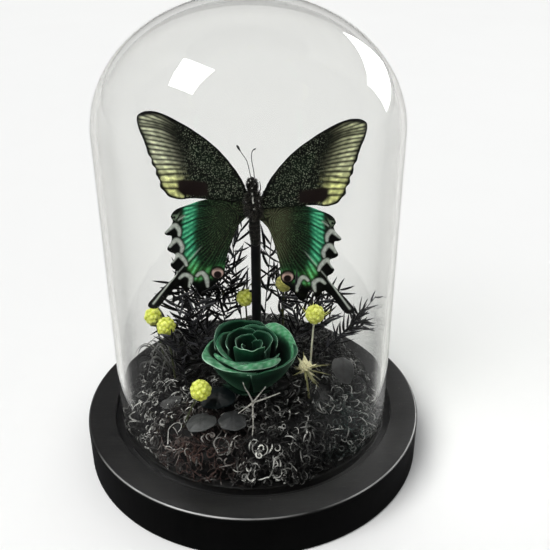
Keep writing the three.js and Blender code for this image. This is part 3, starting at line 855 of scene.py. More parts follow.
BLACK_SCALE = np.array([0.0018, 0.0021, 0.0018])
DUST_GREEN = np.array([0.020, 0.062, 0.026])
PALE_STREAK = np.array([0.86, 0.89, 0.62])
YELLOW_STREAK = np.array([0.76, 0.78, 0.32])
VELVET_BROWN = np.array([0.0115, 0.0068, 0.0060])
TEAL_BAND = np.array([0.045, 0.50, 0.25])
GREEN_BAND = np.array([0.10, 0.42, 0.08])
BAND_SHEEN = np.array([0.22, 0.84, 0.46])
LUNULE = np.array([0.40, 0.43, 0.39])
EYE_RING = np.array([0.62, 0.43, 0.37])
EYE_CORE = np.array([0.010, 0.005, 0.005])
OLIVE = np.array([0.13, 0.135, 0.07])
BASAL_DUST = np.array([0.21, 0.24, 0.17])
GREEN_DUST = np.array([0.06, 0.22, 0.08])

# Pale arches of the hindwing's edge, each from its tooth's tip inward.
HINDWING_ARCHES = [
    [(36.4, -7.8), (34.4, -5.9), (32.3, -4.9), (30.9, -7), (30.9, -9.4)],
    [(35.2, -14.6), (33.4, -12.3), (31.7, -11.6), (30, -14.6), (30.5, -17)],
    [(34.6, -21.8), (33, -19.3), (31.5, -18.6), (29.4, -21.2), (28.7, -23.4)],
    [(31.9, -29.6), (30.3, -28.2), (28.7, -28.2), (27.2, -29.8), (28, -33.6)],
    [(24.6, -28.6), (23.2, -27.4), (22, -27.3), (20.6, -29.6), (20.2, -33.8)],
]
EYE_PLACE = np.array([15.7, -27.2])
EYE_RADIUS = 2.45

# Lines that the wings' markings keep to, in the same places as the outlines.
FOREWING_MARGIN = [
    (40.2, 32.2), (42.9, 31.3), (44.2, 29.6), (43.8, 25.4), (42, 20.2), (40.2, 12.4), (38.4, 7.2), (37.0, 2.4),
    (35.2, -1.1), (32.8, -3.2),
]
FOREWING_FRONT = [(3.4, 0), (10.5, 12.9), (19.5, 22), (30.7, 29.4), (38, 32.1), (42.9, 31.3)]
FOREWING_HEM = [(3.4, -5), (10, -4.6), (23.8, -3.5), (29, -4), (32.8, -3.1)]
HINDWING_MARGIN = [
    (33.9, -0.9), (34.4, -5), (35, -10), (34.8, -16), (34, -22), (32.7, -27), (29.8, -34.5), (24.5, -36),
    (19, -35),
]
HINDWING_STREAK = [(21, -13.5), (26, -19.4), (32.9, -27.2)]
HINDWING_BAR = [(30.9, -2.5), (28.2, -0.8)]
HINDWING_TAIL = [(33, -27.5), (38.5, -34.6), (44.6, -42.6)]
BRAND_PLACE = (24.2, 0.6)
BRAND_HALF = (6.4, 3.3 / 1.04)


def line_distance(points, line):
    """Distance from each point to a line through points, with the share of the way along it."""
    line = smooth_line(line, 6)
    best = np.full(len(points), 1e9)
    share = np.zeros(len(points))
    lengths = np.concatenate([[0], np.cumsum(np.linalg.norm(np.diff(line, axis=0), axis=1))])
    for i, (a, b) in enumerate(zip(line, line[1:])):
        ab = b - a
        t = np.clip(((points - a) @ ab) / max(ab @ ab, 1e-9), 0, 1)
        distance = np.linalg.norm(points - (a + t[:, None] * ab), axis=1)
        closer = distance < best
        best = np.where(closer, distance, best)
        share = np.where(closer, (lengths[i] + t * np.linalg.norm(ab)) / lengths[-1], share)
    return best, share


def between(upper, lower):
    """The line halfway between two veins."""
    pair = [smooth_line(vein, 6) for vein in (upper, lower)]
    return [0.5 * sum(vein[round(share * (len(vein) - 1))] for vein in pair) for share in np.linspace(0, 1, 7)]


def folds_of(rays):
    return [between(upper, lower) for upper, lower in zip(rays, rays[1:])]


def wing_sheet(edge):
    """A fine triangle mesh of a wing's outline."""
    outline = smooth_line(edge, 4)
    closed = np.concatenate([outline, outline[:1]])
    lengths = np.concatenate([[0], np.cumsum(np.linalg.norm(np.diff(closed, axis=0), axis=1))])
    count = int(lengths[-1] / WING_PITCH)
    spots = np.linspace(0, lengths[-1], count, endpoint=False)
    rim = np.stack([np.interp(spots, lengths, closed[:, k]) for k in (0, 1)], axis=-1)
    low, high = rim.min(0), rim.max(0)
    rows = np.arange(low[1], high[1], WING_PITCH * 0.87)
    columns = np.arange(low[0], high[0], WING_PITCH)
    grid = np.array([(x + (i % 2) * WING_PITCH / 2, y) for i, y in enumerate(rows) for x in columns])
    inside = np.zeros(len(grid), bool)
    nearest = np.full(len(grid), 1e9)
    for a, b in zip(rim, np.roll(rim, -1, axis=0)):
        crosses = (a[1] > grid[:, 1]) != (b[1] > grid[:, 1])
        at = a[0] + (grid[:, 1] - a[1]) * (b[0] - a[0]) / (b[1] - a[1] if b[1] != a[1] else 1e-9)
        inside ^= crosses & (grid[:, 0] < at)
        nearest = np.minimum(nearest, np.hypot(*(grid - a).T))
    grid = grid[inside & (nearest > WING_PITCH * 0.55)]
    places = [Vector(place) for place in np.concatenate([rim, grid])]
    border = [(i, (i + 1) % count) for i in range(count)]
    flat, _, faces, *_ = delaunay_2d_cdt(places, border, [], 1, 1e-5)
    return np.array([tuple(place) for place in flat]), np.array(faces)


def wing_solid(edge, side, root_z, setback, droop, shape):
    """Points and faces of a thin wing. shape gives each point's offset forward and its half thickness."""
    flat, triangles = wing_sheet(edge)
    forward, half = shape(flat)
    angle = math.radians(droop)
    x = BODY_X + side * (flat[:, 0] * math.cos(angle) + flat[:, 1] * math.sin(angle))
    z = root_z - flat[:, 0] * math.sin(angle) + flat[:, 1] * math.cos(angle)
    points = np.concatenate([np.stack([x, setback - forward + out, z], axis=-1) for out in (-half, half)])
    total = len(flat)
    first, second, third = (flat[triangles[:, k]] for k in range(3))
    area = np.cross(second - first, third - first)
    triangles = np.where((area > 0)[:, None], triangles, triangles[:, ::-1])
    # The outline's edges are those that belong to one triangle only.
    edges = triangles[:, [0, 1, 1, 2, 2, 0]].reshape(-1, 2)
    _, places, counts = np.unique(np.sort(edges, axis=1), axis=0, return_index=True, return_counts=True)
    rim = edges[np.sort(places[counts == 1])]
    faces = [triangles, triangles[:, ::-1] + total, np.concatenate([rim[:, ::-1], rim + total], axis=1)]
    if side < 0:
        faces = [block[:, ::-1] for block in faces]
    return flat, points, faces


def depth_inside(points, line):
    """How far each point lies to the right of a line's run, which is negative on its left."""
    line = smooth_line(line, 6)
    gaps = points[:, None] - line[None]
    nearest = np.argmin(np.sum(gaps**2, axis=2), axis=1)
    gap = gaps[np.arange(len(points)), nearest]
    way = unit(np.gradient(line, axis=0))[nearest]
    return way[:, 1] * gap[:, 0] - way[:, 0] * gap[:, 1]


def vein_field(flat, lines, width, taper=0.6):
    """How strongly each point lies on one of the lines, from 0 to 1. taper thins them toward their ends."""
    field = np.zeros(len(flat))
    for line in lines:
        distance, share = line_distance(flat, line)
        reach = width * (1 + taper * (0.4 - share))
        field = np.maximum(field, np.exp(-((distance / reach) ** 2)))
    return field


def lay(tone, colour, share):
    """Lays a colour over the tones, with its density held between 0 and 1."""
    return blend(tone, colour, np.clip(share, 0, 1))


def ripple(flat, seed, size):
    """A smooth random field from 0 to 1 with features of that size in mm."""
    picks = np.random.default_rng(seed)
    field = np.zeros(len(flat))
    for _ in range(7):
        turn = picks.uniform(0, 2 * np.pi)
        rate = 2 * np.pi / (size * picks.uniform(0.7, 1.6))
        field += np.sin(rate * (flat[:, 0] * np.cos(turn) + flat[:, 1] * np.sin(turn)) + picks.uniform(0, 6.3))
    return smoothstep(-3.2, 3.2, field)


def forewing_tones(flat, warm):
    """The forewing's colours, and the colour of the dust on it. warm makes its pale fan more yellow."""
    x, y = flat.T
    edges = FOREWING_MARGIN, FOREWING_FRONT, FOREWING_HEM
    margin, front, hem = (line_distance(flat, line)[0] for line in edges)
    veins = vein_field(flat, FOREWING_RAYS + FOREWING_STEMS, 0.82, 0.45)
    folds = vein_field(flat, folds_of(FOREWING_RAYS), 0.68, 0.60)
    # How far a place lies outside the line where the pale fan starts.
    outward = x - np.interp(y, [-4, 6, 14, 26], [28.4, 26.2, 25.4, 27.0])
    fan = smoothstep(-2.2, 6.0, outward + 3.4 * (ripple(flat, 21, 2.6) - 0.5))
    fan = fan * smoothstep(0.35, 1.1, margin) * smoothstep(0.7, 1.9, front) * smoothstep(0.3, 1.3, hem)
    dust = smoothstep(5, -3, outward) * (0.5 + 0.5 * ripple(flat, 3, 7))
    dust = dust * smoothstep(0.1, 1.2, front) * smoothstep(-0.2, 1.2, hem)
    tone = lay(np.repeat(BLACK_SCALE[None], len(flat), axis=0), DUST_GREEN * 0.30, 0.35 * dust)
    streak = lay(PALE_STREAK, YELLOW_STREAK, smoothstep(14, 1, y) + warm)
    shine = 0.26 + 1.15 * smoothstep(13.5, 4, margin) * (0.35 + 0.65 * ripple(flat, 5, 3.0))
    shine = shine * (0.24 + 0.76 * smoothstep(0.5, 2.9, margin + 0.8 * ripple(flat, 8, 1.6)))
    tone = blend(tone, streak * shine[:, None], fan)
    tone = lay(tone, BLACK_SCALE, 0.98 * veins)
    tone = lay(tone, BLACK_SCALE, 0.95 * folds)
    along = (x - BRAND_PLACE[0]) / BRAND_HALF[0]
    across = (y - BRAND_PLACE[1] - 0.12 * (x - 24)) / BRAND_HALF[1]
    brand = smoothstep(1.14, 0.80, (along**4 + across**4) ** 0.25)
    return lay(tone, VELVET_BROWN, brand), BASAL_DUST * np.clip(dust * (1 - brand), 0, 1)[:, None]


def arch_field(flat, width):
    field = np.zeros(len(flat))
    for line in HINDWING_ARCHES:
        distance, share = line_distance(flat, line)
        reach = width * (0.75 + 0.5 * np.sin(np.pi * share))
        field = np.maximum(field, smoothstep(1.45, 0.45, distance / reach))
    return field


def eye_tones(tone, flat):
    """Adds the eyespot, a dark heart in a pale ring that fades above it."""
    eye = np.hypot(*(flat - EYE_PLACE).T) / EYE_RADIUS
    tone = lay(tone, BLACK_SCALE, smoothstep(1.55, 1.2, eye))
    above = smoothstep(0.6, 1.9, flat[:, 1] - EYE_PLACE[1])
    tone = lay(tone, EYE_RING * (1 - 0.75 * above)[:, None], smoothstep(1.08, 0.84, eye))
    heart = np.hypot(*(flat - EYE_PLACE + [0, 0.8]).T) / EYE_RADIUS
    return lay(tone, EYE_CORE, smoothstep(0.80, 0.60, heart))


def band_tones(flat, margin, fine):
    """The hindwing's black ground with its shining green band and the green dust inside the band."""
    x, y = flat.T
    rays = 0.5 + 0.5 * np.sin(fan_turn(flat) * 95 + 1.6 * np.sin(x * 0.5))
    grain = ripple(flat, 11, 1.6)
    root = smoothstep(35.2, 33.6, x + 0.9 * np.maximum(0, -27 - y))
    band = smoothstep(3.6, 5.6, margin) * smoothstep(14.5, 8.0, margin) * root * smoothstep(7.4, 4.6, y)
    core = smoothstep(4.4, 6.0, margin) * smoothstep(11.6, 8.0, margin) * root
    low = smoothstep(-15, -27, y)
    inner = smoothstep(9, 15, x)
    green = blend(TEAL_BAND, GREEN_BAND, low)
    tone = np.repeat(BLACK_SCALE[None], len(flat), axis=0)
    tone = lay(tone, green * 0.13, band * inner * (0.35 + 0.65 * rays) * (0.6 + 0.4 * grain))
    tone = lay(tone, green, core * inner * (0.35 + 0.65 * rays) * (0.66 + 0.34 * grain))
    tone = lay(tone, BAND_SHEEN, 0.75 * core**2 * inner * rays**3 * (0.4 + 0.6 * grain) * (1 - 0.4 * low))
    radial = smoothstep(34, 14, margin) * fine**3 * smoothstep(4, 9, x)
    tone = lay(tone, GREEN_DUST * 0.6, 0.45 * radial * (1 - core) * smoothstep(3, 6, margin))
    corner = np.exp(-(((x - 31.5) / 2.6) ** 2) - (((y + 1.2) / 1.7) ** 2))
    return lay(tone, LUNULE * [0.5, 0.62, 0.45], 0.8 * corner * smoothstep(0.35, 0.6, grain))


def fan_turn(flat):
    """The direction of each place from the point that the hindwing's scale rows fan out from."""
    return np.arctan2(flat[:, 1] - 6, flat[:, 0] - 1)


def hindwing_tones(flat, dull):
    """The hindwing's colours, and the colour of the dust on it. dull fades its inner part to olive."""
    x, y = flat.T
    margin = depth_inside(flat, HINDWING_MARGIN)
    fine = 0.5 + 0.5 * np.sin(fan_turn(flat) * 150 + 2.2 * np.sin(x * 0.42))
    tone = band_tones(flat, margin, fine)
    tone = lay(tone, BLACK_SCALE, 0.9 * vein_field(flat, HINDWING_RAYS + HINDWING_STEMS, 0.38))
    tone = lay(tone, BLACK_SCALE, 0.4 * vein_field(flat, folds_of(HINDWING_RAYS), 0.26))
    beside, way = line_distance(flat, HINDWING_STREAK)
    tone = lay(tone, LUNULE, 0.8 * np.exp(-((beside / 0.22) ** 2)) * smoothstep(0, 0.3, way))
    tone = lay(tone, BLACK_SCALE, arch_field(flat, 1.5))
    tone = lay(tone, LUNULE * 1.15, arch_field(flat, 0.90) ** 2 * (0.72 + 0.28 * ripple(flat, 15, 1.6)))
    beside, _ = line_distance(flat, HINDWING_BAR)
    tone = lay(tone, LUNULE, 0.8 * np.exp(-((beside / 0.26) ** 2)))
    beside, way = line_distance(flat, HINDWING_TAIL)
    tail = np.exp(-((beside / (0.26 + 0.16 * way**3)) ** 2)) * smoothstep(1.0, 0.94, way)
    tone = eye_tones(lay(tone, LUNULE * 1.5, tail), flat)
    faded = smoothstep(18, 10, x) * dull * smoothstep(-30, -14, y)
    tone = lay(tone, OLIVE * (0.12 + fine[:, None] ** 2), 0.72 * faded)
    threads = fine**4 * smoothstep(12, 20, margin) * smoothstep(2, 6, x)
    dust = smoothstep(7, 14, margin) * (0.35 + 0.65 * ripple(flat, 9, 5))
    return lay(tone, OLIVE * 0.6, 0.4 * threads), 0.2 * (GREEN_DUST + OLIVE) * dust[:, None]


def wing_finish():
    """Scales in the mesh's tones, with specks of its dust colour on them."""
    finish, n = material("wing_scales")
    across, _, level = n.axes()
    front = n.add("ShaderNodeCombineXYZ", None, X=across, Y=level).outputs[0]
    speck = n.add("ShaderNodeTexVoronoi", {"voronoi_dimensions": "2D"}, Vector=front, Scale=1300.0)
    speck = n.remap(speck.outputs["Distance"], 0.16, 0.42, 1.0, 0.0)
    rare = n.remap(n.noise(900, 2, 0.5), 0.42, 0.56)
    dusted = n.mix(n.maths("MULTIPLY", speck, rare), n.attribute("tone"), n.attribute("dust"), "ADD")
    colour = n.times(dusted, n.remap(n.noise(5200, 2, 0.5), 0.3, 0.7, 0.70, 1.30))
    n.surface(colour, 0.6, n.bump(n.noise(2600, 2, 0.5), 0.00004, 0.6), Specular_IOR_Level=0.15)
    return finish


def add_wing(name, node, side, edge, root_z, setback, tones, swell, worn=0.0, drop=0.0, droop=0.0):
    """worn says how far the wing's colours have changed, and drop and droop how much lower it hangs."""
    rays = FOREWING_RAYS + FOREWING_STEMS if edge is FOREWING_EDGE else HINDWING_RAYS + HINDWING_STEMS

    def shape(flat):
        x, y = flat.T
        root = x - 3.4
        rim = line_distance(flat, [*edge, edge[0]])[0]
        half = (WING_THICKNESS / 2) * (0.45 + 0.55 * smoothstep(0, 1.2, rim)) + 0.07 * vein_field(flat, rays, 0.3)
        wave = 0.16 * np.sin(x * 0.33 + side) * np.sin(y * 0.28)
        fringe = 0.12 * np.sin(y * 1.4) * smoothstep(2.5, 0, rim)
        return swell * (root / 40) ** 2 + wave * smoothstep(0, 10, root) + fringe, half

    flat, points, faces = wing_solid(edge, side, root_z - drop, setback, droop, shape)
    # The back of the wing is a little darker than its front.
    tone, dust = (np.concatenate([values, values * 0.8]) for values in tones(flat, worn))
    add_piece(name, points, faces, WING_FINISH, [node], {"tone": tone, "dust": dust})


WING_FINISH = wing_finish()


def add_wings():
    fore = FOREWING_EDGE, FOREWING_ROOT, 0, forewing_tones, -0.5
    hind = HINDWING_EDGE, HINDWING_ROOT, HINDWING_SETBACK, hindwing_tones, 0.0
    add_wing("left_forewing", "forewing_left", -1, *fore)
    add_wing("right_forewing", "forewing_right", 1, *fore, 0.35, **RIGHT_FOREWING)
    add_wing("left_hindwing", "hindwing_left", -1, *hind)
    add_wing("right_hindwing", "hindwing_right", 1, *hind, 1.0, **RIGHT_HINDWING)


add_wings()

# ---- Butterfly body and antennae ----

BODY_FLATTEN = 0.8
BODY_PROFILE = [
    (0.3, 99.7), (1.4, 100.2), (2.2, 103), (2.4, 108), (2.2, 111.5), (2.1, 113.4), (2.7, 115), (3, 118.5),
    (2.6, 122), (1.6, 123.9), (1.9, 124.8), (2.2, 126.2), (2.0, 127.8), (1.2, 129), (0.3, 129.4),
]
THORAX_LOW = 113.6
THORAX_TOP = 123.8
ABDOMEN_RINGS = 7
LEFT_ANTENNA = [
    (0.3, -0.6, 129.6), (-0.2, -0.8, 132.5), (-1.2, -1, 137), (-3.1, -1.2, 140.2), (-4.9, -1.4, 143.6),
]
RIGHT_ANTENNA = [
    (1.7, -0.6, 129.6), (1.5, -0.8, 132.5), (1, -1, 135.4), (0.7, -1.2, 138.8), (1.1, -1.4, 141.2),
    (2.4, -1.4, 142.2),
]

BODY_FOOT = 99.6
BODY_CROWN = 129.5
BODY_SIDES = 40
HAIR_STEPS = 4
HAIR_SIDES = 3
EYES = [(-1.55, -0.9, 126.6), (1.55, -0.9, 126.6)]
EYE_RADII = (0.85, 0.95, 1.1)
PALPS = [
    [(0.1, -0.8, 128.6), (0.05, -0.9, 129.4), (0, -0.8, 130.2)],
    [(0.7, -0.8, 128.4), (0.6, -0.9, 129.2), (0.45, -0.8, 129.9)],
]
LEGS = [
    [(3.0, -0.9, 122.5), (4.1, -1.3, 125.6), (3.8, -1.5, 128.4)],
    [(3.4, -0.6, 120.5), (4.9, -1.4, 122.4), (5.2, -1.5, 124.8)],
    [(-1.6, -0.7, 122.2), (-2.9, -1.3, 124.4), (-2.7, -1.5, 126.2)],
]
# White scale spots: place on the body's front as x and z, and half width and half height.
BODY_MARKS = [
    (0.75, 123.4, 0.24, 0.75), (0.95, 121.4, 0.34, 1.3), (1.1, 120.3, 0.42, 0.55), (-1.7, 119.8, 0.42, 0.32),
    (1.5, 117.4, 0.5, 0.4), (3.3, 120.6, 0.3, 0.42), (3.6, 118.4, 0.3, 0.5), (-0.7, 127.8, 0.28, 0.28),
    (0.15, 128.7, 0.22, 0.22), (0.7, 126.2, 0.28, 0.26), (1.9, 127.4, 0.2, 0.24),
]
BODY_BLACK = np.array([0.0030, 0.0027, 0.0025])
BODY_GREY = np.array([0.075, 0.07, 0.06])
BODY_WHITE = np.array([0.72, 0.72, 0.68])


def lean(points):
    """Flattens an upright turned body and leans it as the butterfly's body does."""
    x = points[..., 0] + BODY_X + (points[..., 2] - BODY_MIDDLE) * BODY_LEAN
    return np.stack([x, points[..., 1] * BODY_FLATTEN, points[..., 2]], axis=-1)


def body_radius(height):
    profile = smooth_line(BODY_PROFILE, 6)
    return np.interp(height, profile[:, 1], profile[:, 0])


def body_shell():
    """The turned body with the grooves between the abdomen's rings: points, faces and tones."""
    radii, heights = smooth_line(BODY_PROFILE, 8).T
    ring = np.mod((heights - BODY_FOOT) / (THORAX_LOW - BODY_FOOT) * ABDOMEN_RINGS, 1)
    groove = np.where(heights < THORAX_LOW, np.exp(-((np.minimum(ring, 1 - ring) / 0.13) ** 2)), 0)
    side = zip(radii * (1 - 0.07 * groove), heights)
    points, faces = turned([(0, BODY_FOOT), *side, (0, BODY_CROWN)], BODY_SIDES)
    groove = np.concatenate([[0], np.repeat(groove, BODY_SIDES), [0]])
    belly = smoothstep(0.2, -1, points[:, 1] / 2.4)
    return lean(points), faces, blend(BODY_BLACK, BODY_GREY * 0.5, groove * belly * 0.7)


def add_fur(body, count, low, high, length):
    """Hairs standing off the body between two heights."""
    height = RANDOM.uniform(low, high, count)
    turn = RANDOM.uniform(0, 2 * np.pi, count)
    roots = lean(polar(0.97 * body_radius(height), turn, height))
    sweep = (height - 0.5 * (low + high)) / (high - low)
    aim = unit(polar(0.7, turn, 0.9 * sweep) + RANDOM.normal(0, 0.28, (count, 3)))
    reach = length * RANDOM.uniform(0.5, 1.1, (count, 1))
    paths = strands(roots, aim, np.array([[0, 0, -0.25]]), reach, HAIR_STEPS)
    radii = np.repeat([np.linspace(0.075, 0.02, HAIR_STEPS)], count, axis=0)
    shade = blend(BODY_BLACK, BODY_GREY * 2.4, RANDOM.random(count) ** 4)
    body.add(*tubes(paths, radii, HAIR_SIDES), np.repeat(shade, HAIR_STEPS * HAIR_SIDES, axis=0))


def add_body():
    body = Parts()
    body.add(*body_shell())
    body.add(*balls(lean(np.array(EYES)), [EYE_RADII] * 2, 12, 16), BODY_BLACK * 0.8)
    body.add(*tubes(lean(np.array(PALPS)), np.array([[0.55, 0.4, 0.1]] * 2), 8), BODY_BLACK)
    for x, z, half_wide, half_tall in BODY_MARKS:
        middle = BODY_X + (z - BODY_MIDDLE) * BODY_LEAN
        radius = body_radius(z) + 0.05
        y = -BODY_FLATTEN * radius * math.sqrt(max(0.0, 1 - ((x - middle) / radius) ** 2))
        body.add(*balls([(x, y - 0.06, z)], [(half_wide, 0.22, half_tall)], 8, 12), BODY_WHITE)
    add_fur(body, 1900, THORAX_LOW - 0.4, THORAX_TOP, 1.9)
    add_fur(body, 600, THORAX_TOP - 0.6, 129, 0.9)
    add_fur(body, 420, 100.5, THORAX_LOW, 0.42)
    for leg in LEGS:
        body.add(*stalk(smooth_line(leg, 5), 0.3, 0.13, 6), BODY_BLACK)
    body.make("insect_body", BODY_FINISH, "insect_body", "butterfly_body")


def add_antenna(name, node, line, club):
    path = smooth_line(line, 8)
    share = np.linspace(0, 1, len(path))
    radii = 0.17 - 0.03 * share + club * np.exp(-(((share - 0.93) / 0.075) ** 2))
    shaft = Parts()
    shaft.add(*tubes(path[None], radii[None], 8), BODY_BLACK * 0.8)
    shaft.make(name, BODY_FINISH, "insect_body", node)


BODY_FINISH = painted("insect_body", (2600, 2), (0.6, 1.4), 0.42, (2600, 2), 0.00006, Specular_IOR_Level=0.5)
add_body()
add_antenna("left_antenna", "antenna_left", LEFT_ANTENNA, 0.36)
add_antenna("right_antenna", "antenna_right", RIGHT_ANTENNA, 0.14)

# ---- Rose ----

ROSE_X = -1
ROSE_Y = -17.8
ROSE_FLOOR = 42.9
ROSE_RIM = 63
ROSE_STEM_RADIUS = 1.5
PETAL_TURNS = [200, 10, 130, 265, 20, 140, 60, 178, 276, 245, 112, 33, 182, 318]
# Rolled rims: radius of the roll in mm and how far it turns, in degrees, from the innermost petal outward.
PETAL_ROLLS = [
    (0.5, 60), (0.5, 70), (0.55, 80), (0.6, 80), (0.6, 90), (0.7, 100), (0.8, 110), (1.0, 150), (0.8, 150),
    (1.8, 168), (1.1, 110), (3.1, 92), (1.3, 118), (0.6, 140),
]
# How far each petal's rim lies below the CAD model's, in mm, and how much painted light its upper part has.
PETAL_DROPS = [3.4, 2.6, 1.6, 0.0, 0.0, -0.4, -0.6, -0.9, 0.2, -0.6, -1.8, 0.9, 0.6, 0.9]
PETAL_SHINE = [0.12, 0.10, 0.15, 0.6, 0.18, 0.15, 0.22, 0.35, 0.2, 1.1, 0.10, 1.4, 1.05, 0.2]
# How far each petal's rim sinks at its ends, as a share of its height.
PETAL_SAGS = [0.10, 0.10, 0.10, 0.08, 0.10, 0.10, 0.12, 0.20, 0.08, 0.05, 0.30, 0.30, 0.06, 0.03]
# Outer petals that sit otherwise than the rest: turn and spread in degrees, and how much narrower in mm.
PETAL_SETS = {9: (262, 128, 0), 12: (203, 154, 1.3), 13: (318, 104, 1.2)}
FOLDED_PETAL = 12  # its rim rolls mostly on one side of its middle
PETAL_COLUMNS = 44
ROLL_STEPS = 11
SEPALS = 7
# PETAL_DEEP is painted shade deep in the cup and the calyx's dark green, PETAL_LIT_GREEN painted light on the upper
# part of lit petals, and PETAL_EDGE a painted highlight along the rims.
PETAL_DEEP = np.array([0.0008, 0.012, 0.006])
PETAL_GREEN = np.array([0.004, 0.076, 0.036])
PETAL_LIT_GREEN = np.array([0.040, 0.30, 0.115])
PETAL_EDGE = np.array([0.52, 0.80, 0.62])


def petal_curve(order, drop):
    """A petal's side from its foot to where its rim starts to roll, as (radius, height) pairs."""
    foot, rim = 1.8 + 0.62 * order, 3.6 + 1.25 * order
    low, top = ROSE_FLOOR + 1.5, ROSE_RIM + 3 - 0.25 * order - drop
    share = np.linspace(0, 1, 19)
    return np.stack([foot + (rim - foot) * np.sin(share * np.pi / 2), low + (top - low) * share], axis=-1)


def petal_lines(order, narrower, u, phase):
    """(radius, height) pairs up the petal and over its rolled rim, in columns across it from u = -1 to 1."""
    roll_radius, roll_turn = PETAL_ROLLS[order]
    bowl = petal_curve(order, PETAL_DROPS[order] + roll_radius) - [narrower, 0]
    sag = 1 - PETAL_SAGS[order] * np.abs(u) ** 2.4
    sag = sag - 0.018 * np.sin(5 * u + phase[0]) - 0.012 * np.sin(11 * u + phase[1])
    fade = (1 - np.abs(u) ** 5) * (0.8 + 0.2 * np.sin(3 * u + phase[2])) + 0.06
    if order == FOLDED_PETAL:
        fade = fade * (0.35 + 2.2 * np.exp(-(((u - 0.22) / 0.34) ** 2)))
    bends = np.linspace(0, math.radians(roll_turn if order else roll_turn / 2), ROLL_STEPS + 1)[1:]
    whole = np.linspace(0, 1, len(bowl))
    lines = []
    for length, roll in zip(sag, roll_radius * fade):
        reach = np.linspace(0, length, len(bowl))
        radius, height = (np.interp(reach, whole, column) for column in bowl.T)
        start = math.atan2(radius[-1] - radius[-2], height[-1] - height[-2])
        rolled_radius = radius[-1] + roll * (math.cos(start) - np.cos(start + bends))
        rolled_height = height[-1] + roll * (np.sin(start + bends) - math.sin(start))
        lines.append(np.stack([np.append(radius, rolled_radius), np.append(height, rolled_height)], axis=-1))
    return np.stack(lines, axis=1)


def petal_tones(order, u, v, phase):
    """Deep green painted shade at the foot, painted light above on lit petals and a pale painted highlight along
    the edges, for the inner and then the outer face.
    """
    shine = PETAL_SHINE[order]
    tone = blend(PETAL_DEEP, PETAL_GREEN, smoothstep(0.45, 1.0, v) * np.ones_like(u))
    streaks = 0.82 + 0.18 * np.sin(23 * u + phase[0]) * np.sin(9 * u + 2 * v + phase[1])
    tone = blend(tone, PETAL_LIT_GREEN, smoothstep(0.50, 0.80, v) * shine * streaks)
    # Pale mottled patches of painted highlight on the most lit petals.
    if shine > 1:
        patches = (0.5 + 0.5 * np.sin(31 * u + 9 * v + phase[0]) * np.sin(26 * v + 7 * u)) ** 2
        tone = blend(tone, PETAL_EDGE * 0.9, 0.55 * patches * smoothstep(0.5, 0.85, v))
    edge = smoothstep(0.965, 0.998, v) + 0.8 * smoothstep(0.965, 0.995, np.abs(u)) * smoothstep(0.5, 0.7, v)
    edge = np.clip(edge * (0.62 + 0.38 * np.sin(4.3 * u + phase[2])), 0, 1)
    tone = blend(tone, PETAL_EDGE, edge)
    return np.stack([tone, blend(tone * 0.62, PETAL_EDGE, 0.8 * edge)]).reshape(-1, 3)


def petal_mesh(order):
    """Points, faces and tones of one petal: a bowl's blade whose rim rolls outward, with real thickness."""
    u = np.linspace(-1, 1, PETAL_COLUMNS)
    phase = np.random.default_rng(400 + order).uniform(0, 6.3, 3)
    turn, spread, narrower = PETAL_SETS.get(order, (PETAL_TURNS[order], 150 - 3.5 * order, 0))
    radius, height = np.moveaxis(petal_lines(order, narrower, u, phase), -1, 0)
    rows = len(height)
    v = np.linspace(0, 1, rows)[:, None]
    ruffle = 0.22 * np.sin(7 * u + phase[1]) * v**3 + 0.30 * np.sin(3.1 * u + phase[2]) * v**2
    tuck = 0.55 * np.maximum(0, u) ** 2 * v
    radius = radius + ruffle * min(1.0, 0.35 + 0.08 * order) - tuck
    angle = math.radians(turn) + 0.5 * math.radians(spread) * u * (0.80 + 0.20 * v)
    middle = polar(radius, angle, height) + [ROSE_X, ROSE_Y, 0]
    normal = unit(np.cross(np.gradient(middle, axis=0), np.gradient(middle, axis=1)))
    half = 0.21 - 0.09 * v[..., None] ** 2
    points = np.stack([middle - normal * half, middle + normal * half])
    shift = rows * PETAL_COLUMNS
    index = np.arange(shift).reshape(rows, PETAL_COLUMNS)
    quads = np.stack([index[:-1, :-1], index[:-1, 1:], index[1:, 1:], index[1:, :-1]], axis=-1).reshape(-1, 4)
    rim = np.concatenate([index[0], index[1:, -1], index[-1, -2::-1], index[-2:0:-1, 0]])
    return points, [quads, quads[:, ::-1] + shift, wall(rim, shift)], petal_tones(order, u, v, phase)


def add_calyx(finish):
    """The cup under the rose with its short stem and its sepals."""
    calyx = Parts()
    root = moss_height(ROSE_X, ROSE_Y) - ROOT_DEPTH
    points, faces = turned([
        (0, root), (ROSE_STEM_RADIUS, root + 0.2), (ROSE_STEM_RADIUS, ROSE_FLOOR - 2), (2.6, ROSE_FLOOR - 0.8),
        (6, ROSE_FLOOR - 0.3), (9.6, ROSE_FLOOR + 0.3), (10.4, ROSE_FLOOR + 0.9), (9.8, ROSE_FLOOR + 1.1),
        (0, ROSE_FLOOR + 1),
    ], 36)
    calyx.add(points + [ROSE_X, ROSE_Y, 0], faces, PETAL_DEEP * 0.8)
    turns = 2 * np.pi * np.arange(SEPALS)[:, None] / SEPALS
    share = np.linspace(0, 1, 8)
    paths = polar(8.4 + 5.2 * share, turns, ROSE_FLOOR + 0.6 + 3.6 * share**1.6) + [ROSE_X, ROSE_Y, 0]
    widths = np.repeat([1.7 * np.sin(np.pi * (0.28 + 0.71 * share))], SEPALS, axis=0)
    calyx.add(*tubes(paths, widths, 8, flatten=0.16), PETAL_DEEP)
    calyx.make("calyx", finish, "green_petal", "rose_calyx")


